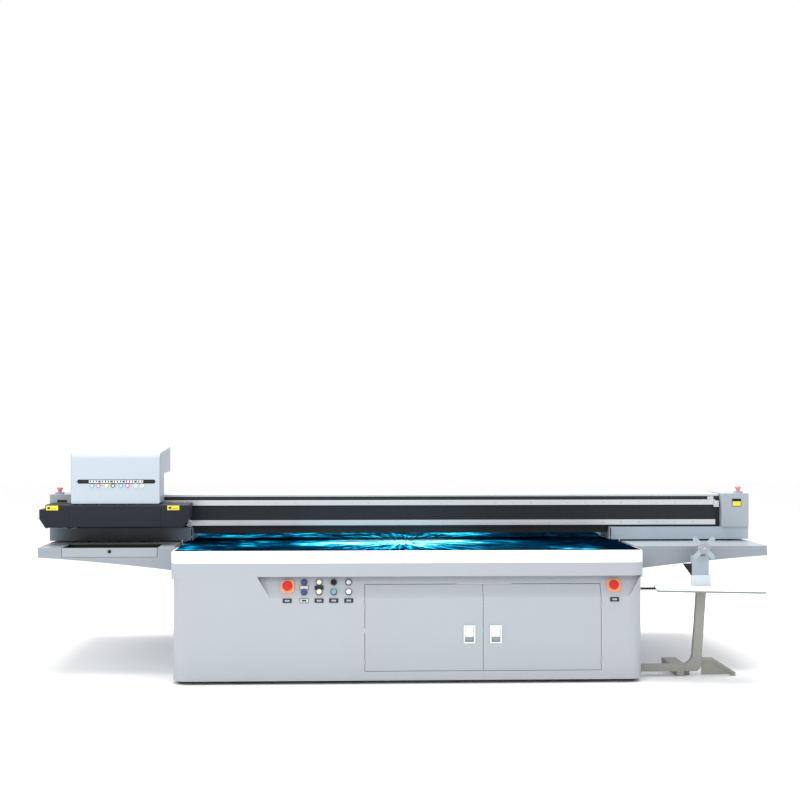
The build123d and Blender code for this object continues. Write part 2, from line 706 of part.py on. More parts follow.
with BuildPart() as vacuum_blower:
    blower = (60, 520)
    with BuildSketch(Plane.YZ.offset(blower[0] - 60)):
        with Locations((deep(blower[1]), FLOOR_Z + 190)):
            Circle(150)
    extrude(amount=110)
    with BuildSketch(Plane.YZ.offset(blower[0] + 50)):
        with Locations((deep(blower[1]), FLOOR_Z + 190)):
            Circle(85)
    extrude(amount=190)
    block((blower[0] - 60, blower[0] + 230), (blower[1] - 110, blower[1] + 110), (FLOOR_Z, FLOOR_Z + 60))
    # duct up to the underside of the table
    with BuildSketch(Plane((blower[0], deep(blower[1] + 90), FLOOR_Z + 190))):
        Circle(35)
    extrude(amount=BED_Z - TABLE_T - FLOOR_Z - 190)
vacuum_blower.part.label = "vacuum_blower"
export_step(vacuum_blower.part, "parts/vacuum_blower.step")

with BuildPart() as electronics_box:
    block((-1240, -480), (250, 650), (FLOOR_Z, 560))
    chamfer(electronics_box.edges().filter_by(Axis.Y), length=6)
    block((-1237, -483), (253, 651), (FLOOR_Z + 10, 550), Mode.SUBTRACT)
electronics_box.part.label = "electronics_box"
export_step(electronics_box.part, "parts/electronics_box.step")


# ---------------------------------------------------------------- gantry: saddles and supports
with BuildPart() as saddles:
    for side in (-1, 1):
        saddle_y = (SADDLE_FRONT, SADDLE_BACK)
        foot_z = FRAME_TOP + 52
        # bearing blocks straddle the rail
        for y_block in (SADDLE_FRONT, SADDLE_BACK - 110):
            with BuildSketch(Plane.XZ.offset(-deep(y_block))):
                with Locations((side * RAIL_X, FRAME_TOP + 6)):
                    Rectangle(70, 46, align=(Align.CENTER, Align.MIN))
                with Locations((side * RAIL_X, FRAME_TOP)):
                    Rectangle(
                        RAIL_W + 2 * FIT,
                        RAIL_H + 2 * FIT,
                        align=(Align.CENTER, Align.MIN),
                        mode=Mode.SUBTRACT,
                    )
                for flank in (-1, 1):
                    with Locations((side * RAIL_X + flank * (RAIL_W / 2 - 0.5), FRAME_TOP + RAIL_H / 2)):
                        Rectangle(8, 7)
            extrude(amount=-110)
        block(mirrored(side, RAIL_X - 35, WEB_X[1]), saddle_y, (foot_z, foot_z + 14))
        block(mirrored(side, *WEB_X), saddle_y, (foot_z, SUPPORT_TOP - 6))
saddles.part.label = "saddles"
export_step(saddles.part, "parts/saddles.step")

for side, hand in ((-1, "left"), (1, "right")):
    with BuildPart() as support_box:
        span = mirrored(side, SUPPORT_IN, SUPPORT_OUT)
        block(span, (SUPPORT_FRONT, SUPPORT_BACK), (SUPPORT_LOW, SUPPORT_TOP))
        inner_edge = support_box.edges().filter_by(Axis.Z).group_by(Axis.Y)[0]
        fillet(inner_edge.sort_by(Axis.X)[-1 if side < 0 else 0], radius=30)
        block(
            mirrored(side, SUPPORT_IN + 6, SUPPORT_OUT - 6),
            (SUPPORT_FRONT + 6, SUPPORT_BACK - 6),
            (SUPPORT_LOW - 1, SUPPORT_TOP - 6),
            Mode.SUBTRACT,
        )
    support_box.part.label = f"support_box_{hand}"
    export_step(support_box.part, f"parts/support_box_{hand}.step")

    with BuildPart() as end_box:
        end_x = mirrored(side, END_IN, SUPPORT_OUT)
        block(end_x, (END_FRONT, END_BACK), (SUPPORT_TOP, END_TOP))
        fillet(end_box.edges().filter_by(Axis.Z), radius=8)
        block(
            mirrored(side, END_IN + 5, SUPPORT_OUT - 5),
            (END_FRONT + 5, END_BACK - 5),
            (SUPPORT_TOP - 1, END_TOP - 5),
            Mode.SUBTRACT,
        )
        # round collar under the emergency stop
        with BuildSketch(Plane((side * END_STOP_X, deep(END_FRONT + 60), END_TOP))):
            Circle(30)
            Circle(14, mode=Mode.SUBTRACT)
        extrude(amount=END_COLLAR)
    end_box.part.label = f"end_box_{hand}"
    export_step(end_box.part, f"parts/end_box_{hand}.step")

    with BuildPart() as gantry_estop:
        stop_plane = Plane((side * END_STOP_X, deep(END_FRONT + 60), END_TOP))
        add(mushroom(stop_plane, END_COLLAR + 12, GANTRY_HEAD_R))
        fillet(gantry_estop.faces().sort_by(Axis.Z)[-1].edges(), radius=6)
    gantry_estop.part.label = f"gantry_estop_{hand}"
    export_step(gantry_estop.part, f"parts/gantry_estop_{hand}.step")


# ---------------------------------------------------------------- gantry: beam and its rails
with BuildPart() as beam:
    beam_y = (BEAM_FRONT, BEAM_BACK)
    bore_y = (BEAM_FRONT + BEAM_WALL, BEAM_BACK - BEAM_WALL)
    keel_half = SUPPORT_IN - 6
    block((-BEAM_HALF, BEAM_HALF), beam_y, (SUPPORT_TOP, BEAM_TOP))
    block((-keel_half, keel_half), (BEAM_FRONT + 14, BEAM_BACK), (BEAM_KEEL, SUPPORT_TOP))
    block(
        (-BEAM_HALF, BEAM_HALF),
        bore_y,
        (SUPPORT_TOP + BEAM_WALL, BEAM_TOP - BEAM_WALL),
        Mode.SUBTRACT,
    )
    # shallow extrusion grooves along the front face
    groove_y = (BEAM_FRONT - 1, BEAM_FRONT + 2)
    for z_groove in (955, 975, 995, 1015):
        block((-BEAM_HALF, BEAM_HALF), groove_y, (z_groove, z_groove + 4), Mode.SUBTRACT)
beam.part.label = "beam"
export_step(beam.part, "parts/beam.step")

with BuildPart() as beam_top_cover:
    block((-BEAM_HALF, BEAM_HALF), (BEAM_FRONT - 2, BEAM_BACK + 2), (BEAM_TOP, BEAM_TOP + 15))
    fillet(beam_top_cover.edges().filter_by(Axis.X).group_by(Axis.Z)[-1], radius=5)
beam_top_cover.part.label = "beam_top_cover"
export_step(beam_top_cover.part, "parts/beam_top_cover.step")

with BuildPart() as x_rails:
    for z_rail in X_RAIL_Z:
        with BuildSketch(Plane.YZ.offset(-X_RAIL_HALF)):
            with Locations((deep(BEAM_FRONT - X_RAIL_D / 2), z_rail)):
                Rectangle(X_RAIL_D, X_RAIL_H)
            for flank in (-1, 1):
                with Locations((deep(BEAM_FRONT - X_RAIL_D / 2), z_rail + flank * X_RAIL_H / 2)):
                    Rectangle(7, 8, mode=Mode.SUBTRACT)
        extrude(amount=2 * X_RAIL_HALF)
    # end stops above the upper rail
    for side in (-1, 1):
        block(mirrored(side, 2034, 2074), (BEAM_FRONT - 16, BEAM_FRONT), (X_RAIL_Z[1] + 18, BEAM_TOP - 2))
x_rails.part.label = "x_rails"
export_step(x_rails.part, "parts/x_rails.step")


# ---------------------------------------------------------------- carriage
def about_carriage(low, high):
    """An x range measured from the carriage's centre line."""
    return (CARRIAGE_X + low, CARRIAGE_X + high)


PLATE_FRONT = 706
BLOCK_FRONT = 724
ROD_R = 8
ROD_X = 205
ROD_Y = 684
cheek = COVER_HALF - COVER_WALL

with BuildPart() as carriage_plate:
    block(about_carriage(-272, 272), (PLATE_FRONT, BLOCK_FRONT), (LOWER_LOW_Z + 4, COVER_STEP_Z - 10))
    for x_block in (-150, 150):
        for z_rail in X_RAIL_Z:
            with BuildSketch(Plane.YZ.offset(CARRIAGE_X + x_block - 35)):
                with Locations((deep((BLOCK_FRONT + BEAM_FRONT - 3) / 2), z_rail)):
                    Rectangle(BEAM_FRONT - 3 - BLOCK_FRONT, X_RAIL_H + 22)
                with Locations((deep(BEAM_FRONT - X_RAIL_D / 2), z_rail)):
                    Rectangle(X_RAIL_D + 2 * FIT, X_RAIL_H + 2 * FIT, mode=Mode.SUBTRACT)
                for flank in (-1, 1):
                    with Locations(
                        (deep(BEAM_FRONT - X_RAIL_D / 2), z_rail + flank * (X_RAIL_H / 2 + 0.5))
                    ):
                        Rectangle(6.8, 7)
            extrude(amount=70)
    # cheeks that carry the covers, joined to the plate by an inward flange
    for side in (-1, 1):
        cheek_x = about_carriage(side * (cheek - 8), side * cheek)
        flange_x = about_carriage(side * 250, side * (cheek - 8))
        block(cheek_x, (520, 700), (LOWER_TOP_Z + 12, COVER_STEP_Z))
        block(flange_x, (690, PLATE_FRONT), (LOWER_TOP_Z + 12, COVER_STEP_Z - 10))
        # lift guides for the head plate
        with BuildSketch(Plane((CARRIAGE_X + side * ROD_X, deep(ROD_Y), LOWER_LOW_Z + 30))):
            Circle(ROD_R)
        extrude(amount=COVER_STEP_Z - LOWER_LOW_Z - 44)
        for z_clamp in (LOWER_LOW_Z + 20, COVER_STEP_Z - 24):
            block(
                about_carriage(side * (ROD_X - 14), side * (ROD_X + 14)),
                (ROD_Y - 14, PLATE_FRONT),
                (z_clamp, z_clamp + 14),
            )
    # arm over the beam for the cable chain
    block(about_carriage(-200, 200), (PLATE_FRONT, 1020), (COVER_STEP_Z - 10, COVER_STEP_Z - 2))
carriage_plate.part.label = "carriage_plate"
export_step(carriage_plate.part, "parts/carriage_plate.step")

WINDOW_Z = 1176
WINDOW_R = 11
WINDOWS = [(CARRIAGE_X - 147 + 92 * pair + x, WINDOW_Z) for pair in range(4) for x in (0, 40)]

with BuildPart() as carriage_cover:
    with BuildSketch(Plane.YZ.offset(CARRIAGE_X - COVER_HALF)):
        with BuildLine():
            FilletPolyline(
                (deep(LOWER_BACK), COVER_LOW_Z),
                (deep(COVER_FRONT), COVER_LOW_Z),
                (deep(COVER_FRONT + 4), COVER_TOP_Z),
                (deep(COVER_BACK), COVER_REAR_Z),
                (deep(COVER_BACK), COVER_STEP_Z),
                radius=[0.5, 40, 20],
            )
            Polyline(
                (deep(COVER_BACK), COVER_STEP_Z),
                (deep(LOWER_BACK), COVER_STEP_Z),
                (deep(LOWER_BACK), COVER_LOW_Z),
            )
        make_face()
    extrude(amount=2 * COVER_HALF)
    ends = carriage_cover.faces().filter_by(Axis.X)
    sloping = [e for e in ends.edges().filter_by(GeomType.LINE) if e.center().Z > COVER_TOP_Z]
    fillet(sloping, radius=12)
    with BuildSketch(Plane.YZ.offset(CARRIAGE_X - COVER_HALF + COVER_WALL)):
        with BuildLine():
            FilletPolyline(
                (deep(LOWER_BACK + 5), COVER_LOW_Z - 5),
                (deep(COVER_FRONT + COVER_WALL), COVER_LOW_Z - 5),
                (deep(COVER_FRONT + COVER_WALL + 4), COVER_TOP_Z - COVER_WALL),
                (deep(COVER_BACK - COVER_WALL), COVER_REAR_Z - COVER_WALL),
                (deep(COVER_BACK - COVER_WALL), COVER_STEP_Z - 5),
                radius=[0.5, 36, 16],
            )
            Polyline(
                (deep(COVER_BACK - COVER_WALL), COVER_STEP_Z - 5),
                (deep(LOWER_BACK + 5), COVER_STEP_Z - 5),
                (deep(LOWER_BACK + 5), COVER_LOW_Z - 5),
            )
        make_face()
    extrude(amount=2 * (COVER_HALF - COVER_WALL), mode=Mode.SUBTRACT)
    # long slot for the ink level display, and a round window under it for each colour
    with BuildSketch(Plane.XZ.offset(-deep(COVER_FRONT - 5))):
        with Locations(*WINDOWS):
            Circle(WINDOW_R + 0.3)
    extrude(amount=-20, mode=Mode.SUBTRACT)
    block(about_carriage(-235, 250), (COVER_FRONT - 5, COVER_FRONT + 12), (1191, 1212), Mode.SUBTRACT)
carriage_cover.part.label = "carriage_cover"
export_step(carriage_cover.part, "parts/carriage_cover.step")

with BuildPart() as ink_windows:
    lean = 4 * (WINDOW_Z - COVER_LOW_Z) / (COVER_TOP_Z - COVER_LOW_Z)
    with BuildSketch(Plane.XZ.offset(-deep(COVER_FRONT + lean + 3))):
        with Locations(*WINDOWS):
            Circle(WINDOW_R)
    extrude(amount=6)
    # dark lens behind the display slot
    block(about_carriage(-240, 255), (COVER_FRONT + 6, COVER_FRONT + 10), (1190, 1217))
ink_windows.part.label = "ink_windows"
export_step(ink_windows.part, "parts/ink_windows.step")


LOWER_WALL = 4


def shell_block(x_range):
    """One length of the dark lower cover, before it is hollowed."""
    block(x_range, (LOWER_FRONT, LOWER_BACK), (LOWER_LOW_Z, LOWER_TOP_Z))
    bottom = faces().sort_by(Axis.Y)[0].edges().filter_by(Axis.X)
    fillet(bottom, radius=14)


def hollow_block(x_range, mode=Mode.SUBTRACT):
    """The space inside a length of the lower cover, open below and behind."""
    block(
        (min(x_range) + LOWER_WALL, max(x_range) - LOWER_WALL),
        (LOWER_FRONT + LOWER_WALL, LOWER_BACK + 5),
        (LOWER_LOW_Z - 5, LOWER_TOP_Z - LOWER_WALL),
        mode,
    )


with BuildPart() as lower_cover:
    shell_block(about_carriage(-LOWER_HALF, LOWER_HALF))
    hollow_block(about_carriage(-LOWER_HALF, LOWER_HALF))
    # window through the top for the head plate's guides and wiring
    window_z = (LOWER_TOP_Z - 10, LOWER_TOP_Z + 5)
    block(about_carriage(-268, 268), (520, LOWER_BACK + 5), window_z, Mode.SUBTRACT)
lower_cover.part.label = "lower_cover"
export_step(lower_cover.part, "parts/lower_cover.step")

LAMP_TAPER_Z = LOWER_LOW_Z + 62
LAMP_STEP = (38, 30)  # width and height of the step at the left end's top corner


def end_waste(outer_x, side, wall=0):
    """What a lamp cover's outer end leaves out: it narrows downwards, and the left one steps in."""
    cut_y = LOWER_FRONT - 5
    cut_z = LOWER_LOW_Z - 6
    with BuildPart(mode=Mode.PRIVATE) as waste:
        with BuildSketch(Plane.XZ.offset(-deep(cut_y))):
            with BuildLine():
                Polyline(
                    (outer_x - side * wall, LAMP_TAPER_Z),
                    (outer_x - side * (wall + 44), cut_z),
                    (outer_x + side * 10, cut_z),
                    (outer_x + side * 10, LAMP_TAPER_Z),
                    close=True,
                )
            make_face()
        extrude(amount=-300)
        if side < 0:
            step_z = (LOWER_TOP_Z - LAMP_STEP[1] - wall, LOWER_TOP_Z + 5)
            block((outer_x - 5, outer_x + LAMP_STEP[0] + wall), (cut_y, cut_y + 300), step_z)
    return waste.part


lamp_spans = {
    "left": (LAMP_END_LEFT, CARRIAGE_X - LOWER_HALF - 1, -1),
    "right": (CARRIAGE_X + LOWER_HALF + 1, LAMP_END_RIGHT, 1),
}
for hand, (x_low, x_high, side) in lamp_spans.items():
    outer_x = x_low if side < 0 else x_high
    with BuildPart() as lamp_hollow:
        hollow_block((x_low, x_high), Mode.ADD)
        add(end_waste(outer_x, side, LOWER_WALL + 1), mode=Mode.SUBTRACT)
    with BuildPart() as lamp_cover:
        shell_block((x_low, x_high))
        add(end_waste(outer_x, side), mode=Mode.SUBTRACT)
        add(lamp_hollow.part, mode=Mode.SUBTRACT)
    lamp_cover.part.label = f"lamp_cover_{hand}"
    export_step(lamp_cover.part, f"parts/lamp_cover_{hand}.step")

with BuildPart() as uv_lamps:
    lamp_y = (LOWER_FRONT + 20, LOWER_BACK - 20)
    for x_lamp in (LAMP_END_LEFT + 112, LAMP_END_RIGHT - 112):
        block((x_lamp - 52, x_lamp + 52), lamp_y, (LOWER_LOW_Z + 12, LOWER_TOP_Z - 4))
uv_lamps.part.label = "uv_lamps"
export_step(uv_lamps.part, "parts/uv_lamps.step")


# ---------------------------------------------------------------- print heads on their lift
HEAD_PLATE_Z = LOWER_LOW_Z + 70
HEAD_Y = (545, 635)
SLEEVE_Z = (HEAD_PLATE_Z + 85, HEAD_PLATE_Z + 125)
HANGER_Y = (660, ROD_Y - 16)
with BuildPart() as head_plate:
    block(about_carriage(-250, 250), (500, HANGER_Y[1]), (HEAD_PLATE_Z, HEAD_PLATE_Z + 12))
    for side in (-1, 1):
        # hanger in front of the lower clamp, and a sleeve on the rod above it
        hanger_x = about_carriage(side * (ROD_X - 12), side * (ROD_X + 12))
        block(hanger_x, HANGER_Y, (HEAD_PLATE_Z, SLEEVE_Z[1]))
        block(hanger_x, (HANGER_Y[1], ROD_Y + 12), SLEEVE_Z)
        with BuildSketch(Plane((CARRIAGE_X + side * ROD_X, deep(ROD_Y), SLEEVE_Z[0]))):
            Circle(ROD_R + FIT)
        extrude(amount=SLEEVE_Z[1] - SLEEVE_Z[0], mode=Mode.SUBTRACT)
    for column in range(4):
        for y_head in HEAD_Y:
            x_head = -1.5 * HEAD_PITCH + column * HEAD_PITCH
            block(
                about_carriage(x_head - 40, x_head + 40),
                (y_head - 20, y_head + 20),
                (HEAD_PLATE_Z - 5, HEAD_PLATE_Z + 20),
                Mode.SUBTRACT,
            )
head_plate.part.label = "head_plate"
export_step(head_plate.part, "parts/head_plate.step")

with BuildPart() as print_heads:
    for column in range(4):
        for y_head in HEAD_Y:
            x_head = -1.5 * HEAD_PITCH + column * HEAD_PITCH
            block(
                about_carriage(x_head - 39, x_head + 39),
                (y_head - 19, y_head + 19),
                (LOWER_LOW_Z + 14, HEAD_PLATE_Z + 90),
            )
            block(
                about_carriage(x_head - 46, x_head + 46),
                (y_head - 24, y_head + 24),
                (HEAD_PLATE_Z + 12, HEAD_PLATE_Z + 18),
            )
print_heads.part.label = "print_heads"
export_step(print_heads.part, "parts/print_heads.step")


# ---------------------------------------------------------------- operator's stand
SHELF = Plane(
    origin=(1841, deep(70), SHELF_Z),
    x_dir=(cos(radians(SHELF_YAW)), sin(radians(SHELF_YAW)), 0),
    z_dir=(0, 0, 1),
)
SHELF_T = 10
NECK_X = (1775, 1893)
with BuildPart() as keyboard_shelf:
    with BuildSketch(SHELF):
        RectangleRounded(640, 320, 22)
    extrude(amount=-SHELF_T)
    # notch at the back for the monitor's neck
    notch_x = (NECK_X[0] - 1, NECK_X[1] + 1)
    block(notch_x, (STAND_Y - 10, STAND_Y + 80), (SHELF_Z - 20, SHELF_Z + 10), Mode.SUBTRACT)
keyboard_shelf.part.label = "keyboard_shelf"
export_step(keyboard_shelf.part, "parts/keyboard_shelf.step")

COLUMN_D = 36
LINK_Z = (31, 75)
LINK_END = 1722
COLUMN_RIGHT = 1834
with BuildPart() as stand_column:
    with BuildSketch(Plane.XZ.offset(-deep(STAND_Y - COLUMN_D / 2))):
        with BuildLine():
            Polyline((LINK_END, LINK_Z[1]), (LINK_END, LINK_Z[0]), (1800, LINK_Z[0]))
            ThreePointArc((1800, LINK_Z[0]), (1823, 52), (COLUMN_RIGHT, 92))
            Polyline((COLUMN_RIGHT, 92), (COLUMN_RIGHT, 140), (1841, 230), (1863, SHELF_Z - SHELF_T))
            Polyline((1863, SHELF_Z - SHELF_T), (1805, SHELF_Z - SHELF_T), (1783, 230), (1776, 150))
            ThreePointArc((1776, 150), (1759, 98), (LINK_END, LINK_Z[1]))
        make_face()
    extrude(amount=-COLUMN_D)
    fillet(stand_column.edges().group_by(Axis.Y)[0], radius=3)
stand_column.part.label = "stand_column"
export_step(stand_column.part, "parts/stand_column.step")

FOOT_IN = COLUMN_RIGHT + 0.5
with BuildPart() as stand_foot:
    # flat tube from the base's side to the column
    block((BODY_HALF, LINK_END), (STAND_Y - 20, STAND_Y + 20), LINK_Z)
    # rear leg on the floor
    block((1676, 1766), (STAND_Y + 20, 560), (0, 54))
    block((1676, LINK_END), (STAND_Y - 20, STAND_Y + 20), (0, 54))
    # outrigger on the right: a bent bar, with a thin gusset below it
    with BuildSketch(Plane.XZ.offset(-deep(STAND_Y - 14))):
        with BuildLine():
            Polyline(
                (FOOT_IN, 112),
                (1904, 112),
                (2044, 22),
                (2044, 0),
                (2020, 0),
                (2020, 14),
                (1898, 94),
                (FOOT_IN, 94),
                close=True,
            )
        make_face()
    extrude(amount=-28)
    with BuildSketch(Plane.XZ.offset(-deep(STAND_Y - 3))):
        with BuildLine():
            Polyline((FOOT_IN, 94), (1898, 94), (2020, 14), (2020, 8), (FOOT_IN, 8), close=True)
        make_face()
    extrude(amount=-6)
stand_foot.part.label = "stand_foot"
export_step(stand_foot.part, "parts/stand_foot.step")

with BuildPart() as shelf_brackets:
    under = SHELF_Z - SHELF_T
    # clip on the base's side with an arm under the shelf
    block((BODY_HALF, BODY_HALF + 24), (STAND_Y - 20, STAND_Y + 20), (534, 590))
    block((BODY_HALF + 24, 1600), (STAND_Y - 20, STAND_Y + 10), (under - 12, under))
    # plate between the column and the shelf
    block((1770, 1950), (STAND_Y - 95, STAND_Y - COLUMN_D / 2 - 1), (under - 12, under))
    # stay on the neck's left side
    with BuildSketch(Plane.XZ.offset(-deep(STAND_Y - 3))):
        with BuildLine():
            Polyline((1718, 698), (1775, 698), (1775, 626), (1770, 626), close=True)
        make_face()
    extrude(amount=-6)
shelf_brackets.part.label = "shelf_brackets"
export_step(shelf_brackets.part, "parts/shelf_brackets.step")

SWIVEL_Y = STAND_Y + 9
NECK_TOP = 745
SWIVEL_R = 10
with BuildPart() as monitor_neck:
    block(NECK_X, (STAND_Y - 9, STAND_Y + 27), (SHELF_Z - SHELF_T, 627))
    block((1775, 1881), (STAND_Y - 6, STAND_Y + 24), (627, NECK_TOP))
    with BuildSketch(Plane((STAND_X, deep(SWIVEL_Y), NECK_TOP))):
        Circle(SWIVEL_R)
    extrude(amount=60)
monitor_neck.part.label = "monitor_neck"
export_step(monitor_neck.part, "parts/monitor_neck.step")

TILT_Y = STAND_Y - 29
TILT_R = 6
with BuildPart() as monitor_hub:
    with BuildSketch(Plane((STAND_X, deep(SWIVEL_Y), NECK_TOP + 2))):
        Circle(24)
        Circle(SWIVEL_R + FIT, mode=Mode.SUBTRACT)
    extrude(amount=62)
    block((STAND_X - 14, STAND_X + 14), (TILT_Y - 10, SWIVEL_Y - 14), (VESA_Z - 20, VESA_Z + 11))
    with BuildSketch(Plane.YZ.offset(STAND_X - 26)):
        with Locations((deep(TILT_Y), VESA_Z)):
            Circle(TILT_R)
    extrude(amount=52)
monitor_hub.part.label = "monitor_hub"
export_step(monitor_hub.part, "parts/monitor_hub.step")

PLATE_Y = STAND_Y - 55
with BuildPart() as vesa_plate:
    # an X of four arms with a hole for each monitor screw
    with BuildSketch(Plane.XZ.offset(-deep(PLATE_Y))):
        with Locations((STAND_X, VESA_Z)):
            Circle(36)
            for angle in (45, -45):
                SlotOverall(VESA_PITCH * 1.4142 + 40, 28, rotation=angle)
            with GridLocations(VESA_PITCH, VESA_PITCH, 2, 2):
                Circle(2.25, mode=Mode.SUBTRACT)
    extrude(amount=-5)
    with BuildSketch(Plane.XZ.offset(-deep(PLATE_Y))):
        with Locations((STAND_X, VESA_Z)):
            Ellipse(27, 34)
    extrude(amount=5)
    for side in (-1, 1):
        with BuildSketch(Plane.YZ.offset(STAND_X + (16 if side > 0 else -22))):
            with BuildLine():
                Polyline(
                    (deep(PLATE_Y + 4), VESA_Z - 14),
                    (deep(TILT_Y + 9), VESA_Z - 9),
                    (deep(TILT_Y + 9), VESA_Z + 9),
                    (deep(PLATE_Y + 4), VESA_Z + 14),
                    close=True,
                )
            make_face()
            with Locations((deep(TILT_Y), VESA_Z)):
                Circle(TILT_R + FIT, mode=Mode.SUBTRACT)
        extrude(amount=6)
vesa_plate.part.label = "vesa_plate"
export_step(vesa_plate.part, "parts/vesa_plate.step")
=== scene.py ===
import math

import bpy
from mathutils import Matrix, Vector


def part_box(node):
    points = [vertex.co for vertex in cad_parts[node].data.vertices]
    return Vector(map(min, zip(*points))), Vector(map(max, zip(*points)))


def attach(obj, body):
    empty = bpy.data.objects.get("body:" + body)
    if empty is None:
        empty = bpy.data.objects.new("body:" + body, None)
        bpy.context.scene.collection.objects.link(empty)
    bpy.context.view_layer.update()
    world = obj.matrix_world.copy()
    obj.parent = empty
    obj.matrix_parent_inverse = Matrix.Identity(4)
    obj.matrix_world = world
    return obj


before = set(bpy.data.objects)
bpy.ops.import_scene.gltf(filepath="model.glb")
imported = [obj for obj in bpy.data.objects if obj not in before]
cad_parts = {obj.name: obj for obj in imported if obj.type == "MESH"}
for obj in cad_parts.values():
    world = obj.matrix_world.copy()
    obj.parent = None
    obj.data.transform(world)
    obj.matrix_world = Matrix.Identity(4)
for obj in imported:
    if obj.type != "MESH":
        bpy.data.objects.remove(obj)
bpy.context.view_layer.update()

# Sizes are in metres, and a name that ends in Z is a height above the floor.
LEFT, RIGHT = -1, 1
SIDES = (("left", LEFT), ("right", RIGHT))
FRONTWARD = (0, -1, 0)

CAMERA_PLACE = (-0.487, -8.764, 1.510)
CAMERA_TURN = (math.radians(90.4), 0, math.radians(-2))
LENS_MILLIMETRES = 58.4
LENS_SHIFT = (0.033, 0.030)
FLOOR_SIZE = 60

HOLE_PITCH = 0.046
HOLE_EDGE = (0.0026, 0.0034)
# The height where the painted shade along the beam's keel begins.
KEEL_SHADE_FOOT_Z = 0.80
NECK_FOOT = 0.077
# Near-black colour painted as shade inside the drawer's bay.
BAY_PAINTED_SHADE = (10, 11, 13)

LATCH_MIDDLE = 0.043
LATCH_RIM = (0.070, 0.108)
LATCH_BORDER = 0.008
LATCH_PROUD = 0.0035

PANEL_TILT = math.atan2(57, 122)
PANEL_OUT = Vector((0, -math.cos(PANEL_TILT), math.sin(PANEL_TILT)))
PANEL_FOOT_Z = 0.518
LABEL = (0.054, 0.026)
LABEL_BORDER = 0.0025
UPPER_LABEL_Z = 0.5785
LOWER_LABEL_Z = 0.504
PLATE_PROUD = 0.0014
PLATE_SUNK = 0.0004

RING_RADIUS = 0.0125
RING_DEPTH = 0.0035
RING_WIDTH = 0.0045
RING_START = 0.093
PAIR_PITCH = 0.092
RING_PITCH = 0.040
RING_RISE = 0.011

DISPLAY_Z = 1.2015
DISPLAY_RADIUS = 0.0125
DISPLAY_ENDS = 0.076
STRIP_HALF = 0.008
MARK_HALF = 0.0045
MARKS = 18

SMALL_SCREW, LARGE_SCREW = 0.005, 0.006
SCREW_PITCH = 0.12
RAIL_SCREW_HEIGHTS = (("upper", 1.0515), ("lower", 0.920))
RAIL_BRACKET_Z = (1.020, 1.062)
HUB_CAP_RADIUS = 0.0255


# ------------------------------------------------------------------ camera, floor and light
def set_camera():
    """A camera in front of the machine, a little to its left and just above the carriage."""
    bpy.ops.object.camera_add(
        location=CAMERA_PLACE,
        rotation=CAMERA_TURN,
    )
    camera = bpy.context.object
    camera.name = "camera"
    camera.data.lens = LENS_MILLIMETRES
    camera.data.shift_x, camera.data.shift_y = LENS_SHIFT
    bpy.context.scene.camera = camera


def softbox(name, place, aim, width, height, power):
    """A large rectangular light that faces a point."""
    bpy.ops.object.light_add(type="AREA", location=place)
    lamp = bpy.context.object
    lamp.name = name
    lamp.data.shape = "RECTANGLE"
    lamp.data.size = width
    lamp.data.size_y = height
    lamp.data.energy = power
    direction = Vector(aim) - Vector(place)
    lamp.rotation_euler = direction.to_track_quat("-Z", "Y").to_euler()


def set_studio():
    """A pale floor, an even white surround and soft light from above and the front."""
    world = bpy.data.worlds.new("surround")
    world.use_nodes = True
    world.node_tree.nodes["Background"].inputs["Color"].default_value = (1, 1, 1, 1)
    world.node_tree.nodes["Background"].inputs["Strength"].default_value = 1.0
    bpy.context.scene.world = world
    bpy.context.scene.view_settings.view_transform = "Standard"
    softbox("overhead", (0, 0.2, 5.0), (0, 0, 0.8), 6.0, 3.5, 420)
    softbox("front", (-4.0, -6.5, 4.2), (0, 0, 0.6), 5.0, 2.5, 130)
    bpy.ops.mesh.primitive_plane_add(size=FLOOR_SIZE, location=(0, 0, 0))
    floor = bpy.context.object
    floor.name = "floor"
    floor.data.materials.append(FLOOR)


# ------------------------------------------------------------------ materials
def linear(*channels):
    """A colour given in everyday values from 0 to 255."""
    return tuple(
        c / 255 / 12.92 if c <= 10 else ((c / 255 + 0.055) / 1.055) ** 2.4 for c in channels
    )


